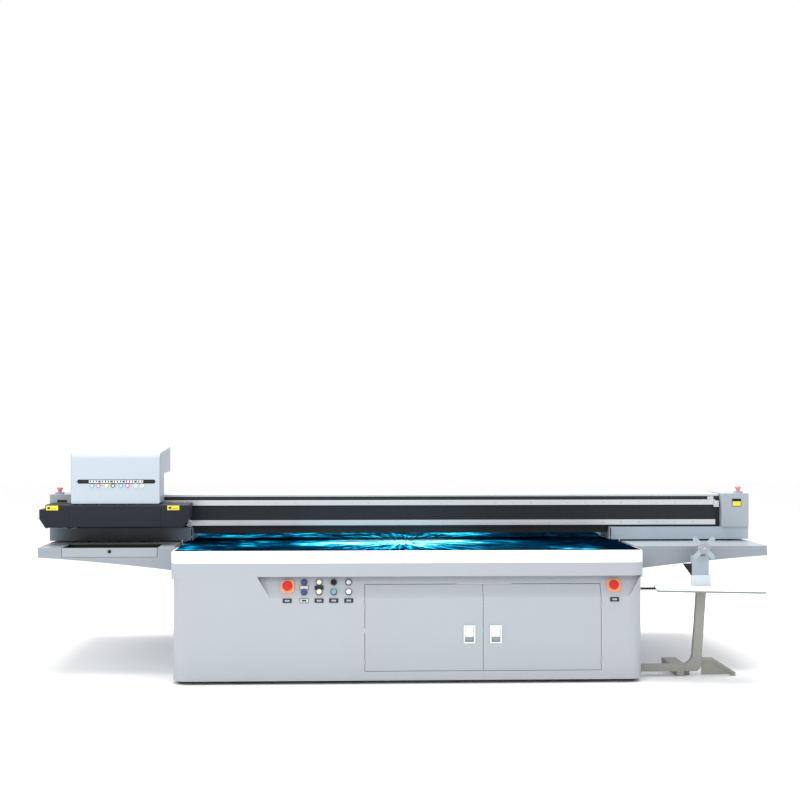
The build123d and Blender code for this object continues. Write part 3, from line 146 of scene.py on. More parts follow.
class Finish:
    """A procedural material: its shader, and short ways to add nodes to it."""

    def __init__(self, name, colour, roughness, metallic=0.0, specular=0.5, coat=0.0):
        self.made = bpy.data.materials.new(name)
        self.made.use_nodes = True
        self.tree = self.made.node_tree
        self.shader = self.tree.nodes["Principled BSDF"]
        self.colour = linear(*colour)
        for socket, value in (
            ("Base Color", (*self.colour, 1)),
            ("Roughness", roughness),
            ("Metallic", metallic),
            ("Specular IOR Level", specular),
            ("Coat Weight", coat),
            ("Coat Roughness", 0.08),
        ):
            self.shader.inputs[socket].default_value = value
        self.place = self.add("ShaderNodeTexCoord").outputs["Object"]

    def add(self, kind, settings=(), **inputs):
        """A new node: settings are its own options, and inputs are values or other sockets."""
        new = self.tree.nodes.new(kind)
        for option, value in dict(settings).items():
            setattr(new, option, value)
        for socket, value in inputs.items():
            which = int(socket[1:]) if socket[1:].isdigit() else socket.replace("_", " ")
            self.feed(new.inputs[which], value)
        return new

    def feed(self, socket, value):
        """Sets a socket to a value, or links another socket to it."""
        if isinstance(value, bpy.types.NodeSocket):
            self.tree.links.new(value, socket)
        else:
            socket.default_value = value

    def math(self, operation, first, second=0.0):
        """The result of a sum on one or two values."""
        return self.add("ShaderNodeMath", {"operation": operation}, _0=first, _1=second).outputs[0]

    def noise(self, scale, detail=2.0, rough=0.5, place=None):
        """The value of a noise pattern, its scale counted per metre."""
        made = self.add("ShaderNodeTexNoise", Scale=scale, Detail=detail, Roughness=rough)
        self.feed(made.inputs["Vector"], place or self.place)
        return made.outputs["Fac"]

    def stretched(self, x, y, z):
        """Object coordinates scaled differently along each axis."""
        return self.add("ShaderNodeMapping", Vector=self.place, Scale=(x, y, z)).outputs["Vector"]

    def ranged(self, value, low, high, from_low=0.0, from_high=1.0):
        """A value moved from one range to another."""
        ends = {"From_Min": from_low, "From_Max": from_high, "To_Min": low, "To_Max": high}
        return self.add("ShaderNodeMapRange", Value=value, **ends).outputs["Result"]

    def distance(self, first, second):
        """How far a point with these two coordinates is from their origin."""
        squares = [self.math("POWER", value, 2) for value in (first, second)]
        return self.math("SQRT", self.math("ADD", *squares))

    def inside(self, axis, low, high, soft=0.0006):
        """1 between two places along an axis, and 0 beyond them."""
        along = self.add("ShaderNodeSeparateXYZ", Vector=self.place).outputs[axis]
        above = self.ranged(along, 0, 1, low - soft, low + soft)
        return self.math("MULTIPLY", above, self.ranged(along, 1, 0, high - soft, high + soft))

    def squareness(self, axis):
        """1 on faces that look along an axis, either way, falling to 0 on those side-on to it."""
        normal = self.add("ShaderNodeTexCoord").outputs["Normal"]
        split = self.add("ShaderNodeSeparateXYZ", Vector=normal)
        return self.math("ABSOLUTE", split.outputs[axis])

    def edge_on(self):
        """1 on upright faces and 0 on level ones."""
        return self.ranged(self.squareness("Z"), 1, 0, 0.4, 0.6)

    def sideways(self):
        """1 on faces that look left or right, and 0 on the others."""
        return self.ranged(self.squareness("X"), 0, 1, 0.6, 0.9)

    def overlaid(self, share, colour):
        """Another colour laid over the finish where a share says."""
        under = self.shader.inputs["Base Color"].links[0].from_socket
        return self.coloured(self.mixed(share, under, (*linear(*colour), 1)))

    def mixed(self, share, first, second):
        """Two colours mixed by a share from 0 to 1."""
        mixer = self.add("ShaderNodeMix", {"data_type": "RGBA"})
        for index, value in ((0, share), (6, first), (7, second)):
            self.feed(mixer.inputs[index], value)
        return mixer.outputs[2]

    def shades(self, share, dark, light):
        """The finish's own colour between a darker and a lighter shade."""
        ends = [(*(min(1.0, c * k) for c in self.colour), 1) for k in (dark, light)]
        return self.mixed(share, *ends)

    def coloured(self, value):
        self.feed(self.shader.inputs["Base Color"], value)
        return self

    def rough(self, value):
        self.feed(self.shader.inputs["Roughness"], value)
        return self

    def relief(self, height, depth):
        """A bump from a pattern, its depth in metres."""
        bump = self.add("ShaderNodeBump", Strength=1.0, Distance=depth, Height=height)
        self.feed(self.shader.inputs["Normal"], bump.outputs["Normal"])
        return self


def painted(name, colour, roughness=0.34, specular=0.5, drift=0.05, coat=0.0):
    """Powder-coated sheet metal: slow drift of shade, a fine orange peel and uneven gloss."""
    paint = Finish(name, colour, roughness, specular=specular, coat=coat)
    slow = paint.noise(1.3, 3)
    fine = paint.noise(420, 1)
    share = paint.math("ADD", paint.math("MULTIPLY", slow, 0.8), paint.math("MULTIPLY", fine, 0.2))
    paint.coloured(paint.shades(share, 1 - drift, 1 + drift))
    paint.rough(paint.ranged(paint.noise(9, 4), roughness - 0.06, roughness + 0.08))
    return paint.relief(paint.noise(260, 2), 0.00012)


def brushed(name, colour, roughness, along="x", metallic=1.0, drift=0.12):
    """Metal with fine lines along one axis."""
    metal = Finish(name, colour, roughness, metallic=metallic)
    scale = [900, 900, 900]
    scale["xyz".index(along)] = 6
    lines = metal.noise(1, 3, 0.7, metal.stretched(*scale))
    metal.coloured(metal.shades(lines, 1 - drift, 1 + drift))
    metal.rough(metal.ranged(lines, roughness - 0.08, roughness + 0.12))
    return metal.relief(lines, 0.00006)


def moulded(name, colour, roughness, specular=0.5, coat=0.0, drift=0.08, grain=700):
    """Moulded plastic or rubber with a fine texture."""
    plastic = Finish(name, colour, roughness, specular=specular, coat=coat)
    texture = plastic.noise(grain, 2, 0.6)
    plastic.coloured(plastic.shades(plastic.noise(25, 3), 1 - drift, 1 + drift))
    plastic.rough(plastic.ranged(texture, roughness - 0.05, roughness + 0.1))
    return plastic.relief(texture, 0.00008)


def perforated():
    """Anodised table top with its small suction holes on a square grid."""
    sheet = Finish("table_top", (196, 201, 206), 0.42, metallic=0.75)
    split = sheet.add("ShaderNodeSeparateXYZ", Vector=sheet.place)
    x_near, y_near = (
        sheet.math("PINGPONG", split.outputs[axis], HOLE_PITCH / 2) for axis in ("X", "Y")
    )
    away = sheet.distance(x_near, y_near)
    hole = sheet.ranged(away, 1, 0, *HOLE_EDGE)
    plain = sheet.shades(sheet.noise(1, 3, 0.6, sheet.stretched(8, 500, 500)), 0.9, 1.06)
    sheet.coloured(sheet.mixed(hole, plain, (0.012, 0.012, 0.014, 1)))
    return sheet.relief(sheet.math("SUBTRACT", 1, hole), 0.0008)


def burst_print():
    """The sheet's print: a pale blue burst of rays on deep navy, with drifting cloud."""
    ink = Finish("printed_burst", (6, 22, 44), 0.75, specular=0.0)
    low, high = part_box("printed_sheet")
    middle = (low + high) / 2
    moved = ink.add(
        "ShaderNodeMapping", Vector=ink.place, Location=(-middle.x, 0.13 - middle.y, 0)
    ).outputs["Vector"]
    split = ink.add("ShaderNodeSeparateXYZ", Vector=moved)
    angle = ink.math("ARCTAN2", split.outputs["Y"], split.outputs["X"])
    away = ink.distance(split.outputs["X"], split.outputs["Y"])
    ring = {"X": ink.math("SINE", angle), "Y": ink.math("COSINE", angle)}
    polar = ink.add("ShaderNodeCombineXYZ", Z=ink.math("MULTIPLY", away, 0.35), **ring).outputs[0]
    rays = ink.ranged(ink.noise(13, 4, 0.65, polar), 0, 1, 0.44, 0.62)
    fade = ink.ranged(away, 1, 0, 0.1, 1.05)
    speckle = ink.ranged(ink.noise(42, 3, 0.7, moved), 0.25, 1.1, 0.38, 0.62)
    core = ink.math("POWER", ink.ranged(away, 1, 0, 0.0, 0.66), 1.5)
    core = ink.math("MULTIPLY", core, speckle)
    burst = ink.math("ADD", ink.math("MULTIPLY", rays, fade), core)
    cloud = ink.ranged(ink.noise(1.7, 6, 0.62, moved), 0, 1, 0.46, 0.62)
    patches = ink.ranged(ink.noise(8, 4, 0.6, moved), 0.1, 1.0, 0.36, 0.62)
    sparks = ink.ranged(ink.noise(26, 3, 0.6, moved), 0, 0.25, 0.62, 0.72)
    glow = ink.math("ADD", ink.math("MULTIPLY", cloud, patches), sparks)
    level = ink.math("MINIMUM", ink.math("ADD", ink.math("MULTIPLY", glow, 0.75), burst), 1)
    ramp = ink.add("ShaderNodeValToRGB", Fac=level)
    stops = (
        (0.0, (0, 11, 24)),
        (0.25, (0, 48, 74)),
        (0.5, (14, 132, 168)),
        (0.78, (48, 190, 222)),
        (1.0, (180, 238, 244)),
    )
    while len(ramp.color_ramp.elements) < len(stops):
        ramp.color_ramp.elements.new(0.5)
    for element, (spot, colour) in zip(ramp.color_ramp.elements, stops):
        element.position = spot
        element.color = (*linear(*colour), 1)
    ink.coloured(ramp.outputs["Color"])
    return ink.relief(ink.noise(600, 2), 0.00005)


def shade_reflection_support():
    """The left support's glossy paint, with a painted shade and reflection of the carriage's dark
    cover in its middle, blue-grey towards both ends.
    """
    paint = Finish("support_painted_reflection", (112, 128, 142), 0.3, specular=0.3, coat=0.2)
    low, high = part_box("support_box_left")
    split = paint.add("ShaderNodeSeparateXYZ", Vector=paint.place)
    from_middle = paint.math("SUBTRACT", split.outputs["X"], (low.x + high.x) / 2)
    share = paint.ranged(paint.math("ABSOLUTE", from_middle), 0, 1, 0.26, (high.x - low.x) * 0.52)
    wander = paint.math("MULTIPLY", paint.noise(4, 3), 0.14)
    ends = paint.shades(paint.noise(2, 3), 0.9, 1.1)
    # The dark middle colour is painted shade and reflection of the carriage's dark cover.
    middle = (*linear(22, 27, 31), 1)
    paint.coloured(paint.mixed(paint.math("ADD", share, wander), middle, ends))
    return paint.relief(paint.noise(260, 2), 0.00012)


def grooved_black():
    """Black anodised extrusion with fine drawn lines, its keel painted near-black as painted shade
    under the beam.
    """
    metal = brushed("black_extrusion", (17, 23, 29), 0.5, metallic=0.1, drift=0.25)
    # Painted shade: the keel under the beam is coloured near-black by height.
    keel_shade = metal.inside("Z", KEEL_SHADE_FOOT_Z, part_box("support_box_left")[1].z)
    return metal.overlaid(keel_shade, (4, 5, 9))


def bay_shaded_wing():
    """The left wing's paint, painted near-black inside the drawer's bay as painted shade."""
    paint = painted("wing_left_grey", (141, 148, 156), 0.33)
    low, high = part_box("service_drawer")
    across = paint.inside("X", low.x - 0.0035, high.x + 0.0035)
    along = paint.inside("Y", low.y + 0.004, high.y + 0.03)
    below = paint.inside("Z", low.z - 0.004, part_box("wing_left")[1].z - 0.002)
    bay = paint.math("MULTIPLY", across, along)
    # Painted shade: the drawer's bay is coloured near-black.
    return paint.overlaid(paint.math("MULTIPLY", bay, below), BAY_PAINTED_SHADE)


def bay_shaded_drawer():
    """The drawer's painted front, and its tray painted near-black as painted shade inside the bay.
    """
    paint = painted("drawer_grey", (150, 157, 163), 0.33)
    low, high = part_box("service_drawer")
    # Painted shade: the tray behind the drawer's front is coloured near-black.
    return paint.overlaid(paint.inside("Y", low.y + 0.0085, high.y + 0.01), BAY_PAINTED_SHADE)


def side_shaded_cover():
    """The carriage cover's pale paint, its side panels painted darker grey as painted shade on the
    faces that look left and right.
    """
    paint = painted("cover_pale_blue", (179, 190, 199), 0.36)
    # Painted shade: faces that look sideways get a darker grey.
    return paint.overlaid(paint.sideways(), (128, 136, 145))


def edge_shaded_shelf():
    """A white shelf, its upright edges painted grey as painted shade."""
    paint = painted("shelf_white", (214, 220, 225), 0.36, drift=0.03)
    # Painted shade: upright faces get a grey.
    return paint.overlaid(paint.edge_on(), (118, 124, 130))


def two_tone_neck():
    """The monitor's neck: a white foot below a pale grey panel."""
    paint = painted("neck_pale_grey", (154, 165, 173), 0.36, drift=0.03)
    foot_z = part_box("monitor_neck")[0].z
    return paint.overlaid(paint.inside("Z", foot_z - 0.01, foot_z + NECK_FOOT), (206, 214, 220))


FLOOR = painted("floor_paint", (254, 254, 254), 0.8, specular=0.1, drift=0.004).made
BODY = painted("body_grey", (163, 168, 175), 0.42, specular=0.35).made
DOOR = painted("door_grey", (161, 167, 173), 0.42, specular=0.35).made
RIM = moulded("rim_white", (234, 240, 244), 0.3, coat=0.3, drift=0.01).made
WING = painted("wing_lilac_grey", (141, 148, 156), 0.33).made
WING_LEFT = bay_shaded_wing().made
DRAWER = bay_shaded_drawer().made
END_BOX = painted("end_box_grey", (157, 167, 175), 0.36).made
SUPPORT = painted("support_grey", (160, 175, 187), 0.2, coat=0.5, drift=0.09).made
SUPPORT_PAINTED_REFLECTION = shade_reflection_support().made
FRAME = painted("frame_grey", (120, 124, 130), 0.45).made
STEEL = brushed("ground_steel", (204, 209, 212), 0.3).made
PLATE = brushed("plate_aluminium", (190, 194, 198), 0.42).made
TABLE = perforated().made
PRINT = burst_print().made
BLACK = grooved_black().made
TOP = painted("beam_top_grey", (186, 190, 192), 0.35).made
COVER = side_shaded_cover().made
DARK = painted("cover_charcoal", (27, 32, 39), 0.46, specular=0.22, drift=0.14).made
LAMP_BLACK = brushed("lamp_body", (38, 38, 42), 0.45, metallic=0.3).made
RUBBER = moulded("rubber_black", (34, 34, 36), 0.75, grain=400).made
RED = moulded("stop_red", (192, 30, 24), 0.32, specular=0.35, drift=0.04).made
FADED_RED = moulded("stop_faded_red", (226, 128, 128), 0.35, drift=0.05).made
PEACH = moulded("collar_orange", (226, 160, 116), 0.42, specular=0.3, drift=0.05).made
BEZEL_METAL = brushed("bezel_chrome", (92, 96, 100), 0.3, metallic=0.7).made
BLUE = moulded("button_blue", (46, 62, 122), 0.28, coat=0.2).made
IVORY = moulded("button_ivory", (228, 226, 196), 0.3, coat=0.4, drift=0.03).made
GREEN = moulded("button_green", (86, 172, 166), 0.3, coat=0.4).made
BUTTON_WHITE = moulded("button_white", (222, 226, 230), 0.3, coat=0.4, drift=0.02).made
LENS = moulded("lamp_lens", (200, 206, 208), 0.15, coat=0.6, drift=0.03).made
BLACK_PLASTIC = moulded("plastic_black", (22, 23, 26), 0.42, specular=0.3).made
TANK = moulded("tank_plastic", (200, 203, 198), 0.4).made
STAND = painted("stand_beige_grey", (139, 139, 133), 0.4).made
STAND_PALE = painted("stand_pale_grey", (160, 172, 181), 0.36, drift=0.03).made
NECK = two_tone_neck().made
SHELF_WHITE = edge_shaded_shelf().made
CAST = moulded("cast_alloy", (150, 156, 164), 0.5, grain=300).made
LATCH_WHITE = moulded("latch_white", (226, 231, 232), 0.34, drift=0.02).made
LABEL_DARK = moulded("label_dark", (44, 47, 50), 0.5, specular=0.2, drift=0.05).made
LABEL_PALE = moulded("label_pale", (190, 195, 198), 0.45, drift=0.04).made
LABEL_MARK = moulded("label_mark", (158, 160, 162), 0.45, drift=0.04).made
YELLOW = moulded("plate_yellow", (226, 212, 58), 0.42, drift=0.05).made
CYAN = moulded("ring_cyan", (40, 170, 214), 0.3, coat=0.4).made
MAGENTA = moulded("ring_magenta", (206, 70, 150), 0.3, coat=0.4).made
INK_YELLOW = moulded("ring_yellow", (226, 206, 70), 0.3, coat=0.4).made
RING_WHITE = moulded("ring_white", (226, 232, 236), 0.3, coat=0.4, drift=0.03).made

NODE_FINISHES = {
    BODY: ("front_cover", "side_cover_left", "side_cover_right", "rear_cover", "electronics_box"),
    DOOR: ("door_left", "door_right"),
    RIM: ("front_rim",),
    WING: ("wing_right",),
    WING_LEFT: ("wing_left",),
    DRAWER: ("service_drawer",),
    END_BOX: ("end_box_left", "end_box_right"),
    SUPPORT: ("support_box_right",),
    SUPPORT_PAINTED_REFLECTION: ("support_box_left",),
    FRAME: ("base_frame", "monitor_hub"),
    STEEL: ("y_rails", "x_rails", "saddles"),
    PLATE: ("carriage_plate", "head_plate"),
    TABLE: ("vacuum_table",),
    PRINT: ("printed_sheet",),
    BLACK: ("beam", "print_heads"),
    TOP: ("beam_top_cover",),
    COVER: ("carriage_cover",),
    DARK: ("lower_cover", "lamp_cover_left", "lamp_cover_right"),
    LAMP_BLACK: ("uv_lamps",),
    RUBBER: ("leveling_feet", "capping_station"),
    RED: ("estop_button_left", "estop_button_right"),
    FADED_RED: ("gantry_estop_left", "gantry_estop_right"),
    PEACH: ("estop_collars",),
    BEZEL_METAL: ("button_bezels",),
    BLUE: ("blue_button_upper", "blue_button_lower"),
    IVORY: ("ivory_button_upper", "ivory_button_lower"),
    GREEN: ("green_button",),
    BUTTON_WHITE: ("white_button",),
    LENS: ("indicator_lamp",),
    BLACK_PLASTIC: ("selector_knob", "drawer_lock", "shelf_brackets", "ink_windows"),
    TANK: ("ink_tanks",),
    STAND: ("stand_column", "stand_foot"),
    STAND_PALE: ("vesa_plate",),
    NECK: ("monitor_neck",),
    SHELF_WHITE: ("keyboard_shelf",),
    CAST: ("vacuum_blower",),
    LATCH_WHITE: ("latch_paddle_left", "latch_paddle_right"),
}


def finish_nodes():
    """Gives each solid of the frame its finish."""
    for finish, names in NODE_FINISHES.items():
        for name in names:
            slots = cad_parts[name].data.materials
            slots.clear()
            slots.append(finish)


# ------------------------------------------------------------------ modelling
def deselect():
    """Leaves no object selected."""
    bpy.ops.object.select_all(action="DESELECT")


def start_block(name, low, high):
    """A block between two corners, ready to be shaped."""
    deselect()
    low, high = Vector(low), Vector(high)
    bpy.ops.mesh.primitive_cube_add(size=1, location=(low + high) / 2, scale=high - low)
    return begun(name)


def start_disc(name, place, radius, depth, direction=FRONTWARD, sides=24):
    """A round bar's length whose far end faces a direction, ready to be shaped."""
    deselect()
    turn = Vector(direction).to_track_quat("Z", "Y").to_euler()
    middle = Vector(place) + Vector(direction).normalized() * depth / 2
    bpy.ops.mesh.primitive_cylinder_add(
        vertices=sides, radius=radius, depth=depth, location=middle, rotation=turn
    )
    return begun(name)


def begun(name):
    """Names the new primitive and applies its place, so that its object stays at the origin."""
    piece = bpy.context.object
    piece.name = piece.data.name = name
    bpy.ops.object.transform_apply(location=True, rotation=True, scale=True)
    return piece


def pick(piece, wanted):
    """Selects in edit mode the faces that a test accepts."""
    bpy.ops.object.mode_set(mode="EDIT")
    bpy.ops.mesh.select_mode(type="FACE")
    bpy.ops.mesh.select_all(action="DESELECT")
    bpy.ops.object.mode_set(mode="OBJECT")
    for face in piece.data.polygons:
        face.select = wanted(face)
    bpy.ops.object.mode_set(mode="EDIT")


def facing(direction, share=0.99):
    """A test for faces whose normal points along a direction."""
    aim = Vector(direction).normalized()
    return lambda face: face.normal.dot(aim) > share


def recoloured(piece, finish):
    """Gives the picked faces a finish of their own."""
    piece.data.materials.append(finish)
    piece.active_material_index = len(piece.data.materials) - 1
    bpy.ops.object.material_slot_assign()


def sunk(piece, border, move, finish=None):
    """Insets the picked faces, gives the field its finish if it has one, and moves it."""
    bpy.ops.mesh.inset(thickness=border, depth=0)
    if finish:
        recoloured(piece, finish)
    bpy.ops.mesh.extrude_region_move(TRANSFORM_OT_translate={"value": move})


def middle_x(node):
    """The place across the machine of a node's middle."""
    low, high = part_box(node)
    return (low.x + high.x) / 2


def settled(piece, body, edge=0.0, segments=2):
    """Softens a piece's edges and says which body carries it."""
    if piece.mode == "EDIT":
        bpy.ops.object.mode_set(mode="OBJECT")
    if edge:
        softer = piece.modifiers.new("soft_edges", "BEVEL")
        softer.width = edge
        softer.segments = segments
        softer.limit_method = "ANGLE"
        bpy.ops.object.modifier_apply(modifier=softer.name)
    bpy.ops.object.shade_smooth_by_angle(angle=math.radians(35))
    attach(piece, body)
    return piece


# ------------------------------------------------------------------ door latches
def latch_rims():
    """A white moulded rim round each latch's opening."""
    for hand, _ in SIDES:
        low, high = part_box(f"latch_paddle_{hand}")
        door_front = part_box(f"door_{hand}")[0].y
        half = Vector((LATCH_RIM[0] / 2, 0, LATCH_RIM[1] / 2))
        centre = Vector(((low.x + high.x) / 2, door_front + 0.0002, high.z - LATCH_MIDDLE))
        near_corner = centre - half - Vector((0, LATCH_PROUD, 0))
        rim = start_block(f"latch_rim_{hand}", near_corner, centre + half)
        rim.data.materials.append(LATCH_WHITE)
        pick(rim, lambda face: abs(face.normal.y) > 0.99)
        bpy.ops.mesh.inset(thickness=LATCH_BORDER, depth=0)
        bpy.ops.mesh.bridge_edge_loops()
        settled(rim, f"{hand}_door", 0.0012)


# ------------------------------------------------------------------ plates and labels
def plate(name, low, high, border, finishes, body, bands=()):
    """A small flat plate facing forward: a rim, a sunk field and plain raised bands."""
    face_finish, field_finish, band_finish = finishes
    made = start_block(name, low, high)
    made.data.materials.append(face_finish)
    pick(made, facing(FRONTWARD))
    sunk(made, border, (0, PLATE_SUNK, 0), field_finish)
    settled(made, body, 0.0003, 1)
    width, height = high[0] - low[0], high[2] - low[2]
    for number, (x_from, x_to, z_from, z_to) in enumerate(bands, 1):
        band = start_block(
            f"{name}_band_{number}",
            (low[0] + width * x_from, low[1] - 0.0002, low[2] + height * z_from),
            (low[0] + width * x_to, low[1] + 0.0006, low[2] + height * z_to),
        )
        band.data.materials.append(band_finish)
        settled(band, body, 0.0002, 1)


def tilted_plate(name, x, z, finishes):
    """A label on the sloping panel, under its button."""
    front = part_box("front_cover")[0].y
    depth = (z - PANEL_FOOT_Z) * math.tan(PANEL_TILT)
    spot = Vector((x, front + depth, z)) + PANEL_OUT * 0.0006
    half = (LABEL[0] / 2, 0.0007, LABEL[1] / 2)
    made = start_block(name, [-h for h in half], half)
    made.data.materials.append(finishes[0])
    pick(made, facing(FRONTWARD))
    sunk(made, LABEL_BORDER, (0, 0.0003, 0), finishes[1])
    bpy.ops.mesh.select_all(action="SELECT")
    bpy.ops.transform.rotate(
        value=PANEL_TILT, orient_axis="X", center_override=(0, 0, 0), orient_type="GLOBAL"
    )
    bpy.ops.transform.translate(value=spot)
    settled(made, "base", 0.0003, 1)


def control_labels():
    """Plain label plates beside the buttons and under the emergency stops."""
    pale_names = ("blue_button_upper", "blue_button_lower")
    dark_names = ("ivory_button_upper", "ivory_button_lower", "green_button", "white_button")
    for name in (*pale_names, *dark_names):
        field = LABEL_PALE if name in pale_names else LABEL_DARK
        if name.endswith("upper"):
            tilted_plate(f"label_{name}", middle_x(name), UPPER_LABEL_Z, (LABEL_DARK, field))
        else:
            upright_label(f"label_{name}", middle_x(name), field)
    for hand, _ in SIDES:
        upright_label(f"label_stop_{hand}", middle_x(f"estop_button_{hand}"), LABEL_DARK)


def upright_label(name, x, field):
    """A label on the upright face just below the sloping panel."""
    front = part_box("front_cover")[0].y
    half = (LABEL[0] / 2, LABEL[1] / 2)
    low = (x - half[0], front - 0.0012, LOWER_LABEL_Z - half[1])
    high = (x + half[0], front + PLATE_SUNK, LOWER_LABEL_Z + half[1])
    mark = LABEL_DARK if field is LABEL_PALE else LABEL_MARK
    finishes = (LABEL_DARK, field, mark)
    bands = ((0.24, 0.76, 0.3, 0.7),)
    plate(name, low, high, LABEL_BORDER, finishes, "base", bands)


def plate_start(low, high, side, margin, width):
    """Where a plate begins that stands a margin in from the outer end of a box."""
    return low.x + margin if side < 0 else high.x - margin - width


def yellow_plates():
    """Plain yellow plates with a black band, on the end boxes and the dark covers."""
    finishes = (BLACK_PLASTIC, YELLOW, BLACK_PLASTIC)
    margin, width = 0.052, 0.061
    for hand, side in SIDES:
        low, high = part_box(f"end_box_{hand}")
        x_near = plate_start(low, high, side, margin, width)
        corner = (x_near, low.y - PLATE_PROUD, high.z - 0.098)
        far = (x_near + width, low.y + PLATE_SUNK, high.z - 0.047)
        bands = ((0.05, 0.95, 0.66, 0.94),)
        plate(f"yellow_plate_{hand}", corner, far, 0.003, finishes, "gantry", bands)
    width = 0.080
    for (hand, side), margin in zip(SIDES, (0.041, 0.058)):
        low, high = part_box(f"lamp_cover_{hand}")
        x_near = plate_start(low, high, side, margin, width)
        corner = (x_near, low.y - PLATE_PROUD, high.z - 0.037)
        far = (x_near + width, low.y + PLATE_SUNK, high.z - 0.003)
        bands = ((0.14, 0.34, 0.3, 0.66), (0.42, 0.84, 0.3, 0.36))
        plate(f"lamp_plate_{hand}", corner, far, 0.002, finishes, "carriage", bands)


# ------------------------------------------------------------------ the carriage's display
def ink_rings():
    """A ring in its ink's colour over each round window, with a pale lens inside."""
    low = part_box("ink_windows")[0]
    colours = (CYAN, MAGENTA, INK_YELLOW, BLACK_PLASTIC, CYAN, MAGENTA, RING_WHITE, RING_WHITE)
    pair_starts = [low.x + RING_START + PAIR_PITCH * pair for pair in range(4)]
    middles = (start + step for start in pair_starts for step in (0, RING_PITCH))
    for number, (x, colour) in enumerate(zip(middles, colours), 1):
        place = (x, low.y + 0.001, low.z + RING_RISE)
        ring = start_disc(f"ink_ring_{number}", place, RING_RADIUS, RING_DEPTH, sides=32)
        ring.data.materials.append(colour)
        pick(ring, facing(FRONTWARD))
        lens = RING_WHITE if colour is not RING_WHITE else LABEL_PALE
        sunk(ring, RING_WIDTH, (0, 0.0012, 0), lens)
        settled(ring, "carriage", 0.0006)


def display_bar():
    """The dark display in the cover's slot, with a pale strip of level marks."""
    low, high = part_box("ink_windows")
    cover_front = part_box("carriage_cover")[0].y
    x_from, x_to = low.x - 0.003, high.x - 0.003
    bar = start_block(
        "display_bar",
        (x_from, cover_front - 0.0005, DISPLAY_Z - DISPLAY_RADIUS),
        (x_to, cover_front + 0.006, DISPLAY_Z + DISPLAY_RADIUS),
    )
    bar.data.materials.append(BLACK_PLASTIC)
    pick(bar, lambda face: abs(face.normal.x) > 0.99)
    bpy.ops.mesh.select_mode(type="EDGE")
    bpy.ops.object.mode_set(mode="OBJECT")
    for edge in bar.data.edges:
        one, other = (bar.data.vertices[index].co for index in edge.vertices)
        edge.select = abs(one.y - other.y) > 0.004
    bpy.ops.object.mode_set(mode="EDIT")
    bpy.ops.mesh.bevel(offset=DISPLAY_RADIUS * 0.98, segments=8, affect="EDGES")
    bpy.ops.object.mode_set(mode="OBJECT")
    pick(bar, facing(FRONTWARD))
    sunk(bar, 0.0018, (0, 0.0012, 0))
    settled(bar, "carriage", 0.0004, 1)
    level_marks(x_from + DISPLAY_ENDS, x_to - DISPLAY_ENDS, cover_front)


def level_marks(strip_from, strip_to, cover_front):
    """The display's pale strip, with a row of small dark marks on it."""
    strip = start_block(
        "level_strip",
        (strip_from, cover_front - 0.0002, DISPLAY_Z - STRIP_HALF),
        (strip_to, cover_front + 0.003, DISPLAY_Z + STRIP_HALF),
    )
    strip.data.materials.append(RING_WHITE)
    pick(strip, facing(FRONTWARD))
    sunk(strip, 0.002, (0, 0.0008, 0))
    settled(strip, "carriage", 0.0004, 1)
    step = (strip_to - strip_from) / MARKS
    for number in range(MARKS):
        x = strip_from + (number + 0.5) * step
        half = step * (0.42 if number % 4 == 3 else 0.2)
        mark = start_block(
            f"level_mark_{number + 1}",
            (x - half, cover_front - 0.0006, DISPLAY_Z - MARK_HALF),
            (x + half, cover_front + 0.0016, DISPLAY_Z + MARK_HALF),
        )
        mark.data.materials.append(BLACK_PLASTIC)
        settled(mark, "carriage", 0.0006, 1)


# ------------------------------------------------------------------ fasteners and fittings
def screw(name, place, radius, direction, body, slot):
    """A button-head screw with a hexagon socket, its head facing a direction."""
    head = start_disc(name, place, radius, radius * 0.7, direction, 12)
    head.data.materials.append(STEEL)
    pick(head, facing(direction))
    sunk(head, radius * 0.48, -Vector(direction).normalized() * radius * 0.5)
    return settled(head, body, radius * 0.16, 2)


def rail_screws():
    """A row of socket screws along each rail of the beam."""
    low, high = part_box("x_rails")
    for name, z in RAIL_SCREW_HEIGHTS:
        place = (low.x + 0.06, low.y - 0.0004, z)
        first = screw(f"rail_screws_{name}", place, LARGE_SCREW, FRONTWARD, "gantry", "steel")
        row = first.modifiers.new("row", "ARRAY")
        row.use_relative_offset = False
        row.use_constant_offset = True
        row.constant_offset_displace = (SCREW_PITCH, 0, 0)
        row.count = int((high.x - low.x - SCREW_PITCH) / SCREW_PITCH) + 1
        deselect()
        first.select_set(True)
        bpy.context.view_layer.objects.active = first
        bpy.ops.object.modifier_apply(modifier=row.name)


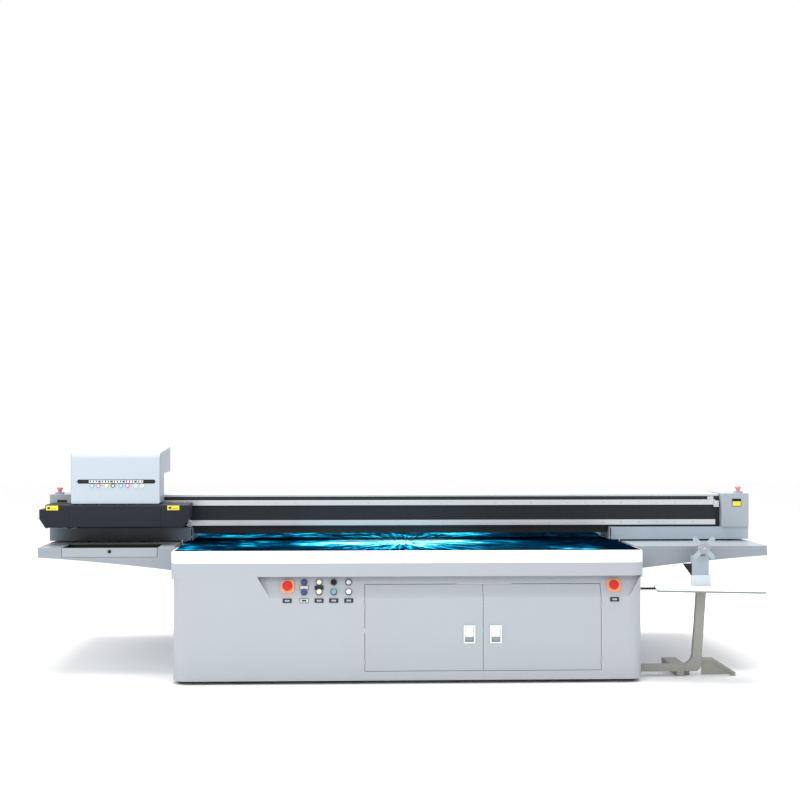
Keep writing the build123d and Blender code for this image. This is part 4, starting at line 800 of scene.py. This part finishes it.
def cover_screws():
    """Screws that hold the covers, on the faces that show."""
    places = []
    low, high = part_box("carriage_cover")
    for z in (low.z + 0.05, low.z + 0.16):
        for x, side in ((low.x, LEFT), (high.x, RIGHT)):
            for y in (low.y + 0.05, low.y + 0.16):
                places.append(((x, y, z), SMALL_SCREW, (side, 0, 0), "carriage", "cover_white"))
    for hand, side in SIDES:
        low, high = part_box(f"end_box_{hand}")
        x = high.x if side > 0 else low.x
        for z in (low.z + 0.03, high.z - 0.03):
            for y in (low.y + 0.04, high.y - 0.04):
                places.append(((x, y, z), SMALL_SCREW, (side, 0, 0), "gantry", "wing_paint"))
        low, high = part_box(f"side_cover_{hand}")
        x = high.x if side > 0 else low.x
        for z in (low.z + 0.05, high.z - 0.05):
            for share in (0.04, 0.35, 0.65, 0.96):
                y = low.y + (high.y - low.y) * share
                places.append(((x, y, z), LARGE_SCREW, (side, 0, 0), "base", "grey_paint"))
    low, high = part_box("rear_cover")
    for z in (low.z + 0.05, high.z - 0.05):
        for share in (0.02, 0.26, 0.5, 0.74, 0.98):
            x = low.x + (high.x - low.x) * share
            places.append(((x, high.y, z), LARGE_SCREW, (0, 1, 0), "base", "grey_paint"))
    for number, details in enumerate(places, 1):
        screw(f"cover_screw_{number}", *details)


def beam_end_bracket():
    """A small silver bracket at the right end of the upper rail."""
    low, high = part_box("x_rails")
    bracket = start_block(
        "rail_bracket",
        (high.x - 0.012, low.y - 0.006, RAIL_BRACKET_Z[0]),
        (high.x + 0.024, low.y + 0.014, RAIL_BRACKET_Z[1]),
    )
    bracket.data.materials.append(STEEL)
    pick(bracket, facing(FRONTWARD))
    sunk(bracket, 0.008, (0, 0.006, 0))
    settled(bracket, "gantry", 0.0015)


def lamp_bracket():
    """The silver foot under the dark cover's right end."""
    low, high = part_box("lamp_cover_right")
    foot = start_block(
        "lamp_bracket",
        (high.x - 0.014, low.y + 0.060, low.z + 0.004),
        (high.x + 0.012, low.y + 0.110, low.z + 0.042),
    )
    foot.data.materials.append(CAST)
    pick(foot, facing((1, 0, 0)))
    sunk(foot, 0.010, (-0.008, 0, 0))
    settled(foot, "carriage", 0.002)


def hub_cap():
    """An oval cap with a screw in the middle of the monitor plate."""
    low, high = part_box("vesa_plate")
    centre = Vector(((low.x + high.x) / 2, low.y, (low.z + high.z) / 2))
    cap_place = centre + Vector((0, 0.0005, 0))
    cap = start_disc("hub_cap", cap_place, HUB_CAP_RADIUS, 0.004, sides=40)
    cap.data.materials.append(CAST)
    bpy.ops.object.mode_set(mode="EDIT")
    bpy.ops.mesh.select_all(action="SELECT")
    bpy.ops.transform.resize(value=(1, 1, 1.3), center_override=centre)
    bpy.ops.object.mode_set(mode="OBJECT")
    pick(cap, facing(FRONTWARD))
    sunk(cap, 0.004, (0, 0.0018, 0))
    settled(cap, "monitor_plate", 0.0008)
    screw_place = centre - Vector((0, 0.0005, 0))
    screw("hub_screw", screw_place, 0.007, FRONTWARD, "monitor_plate", "stand_white")


set_camera()
set_studio()
finish_nodes()
latch_rims()
control_labels()
yellow_plates()
ink_rings()
display_bar()
rail_screws()
cover_screws()
beam_end_bracket()
lamp_bracket()
hub_cap()
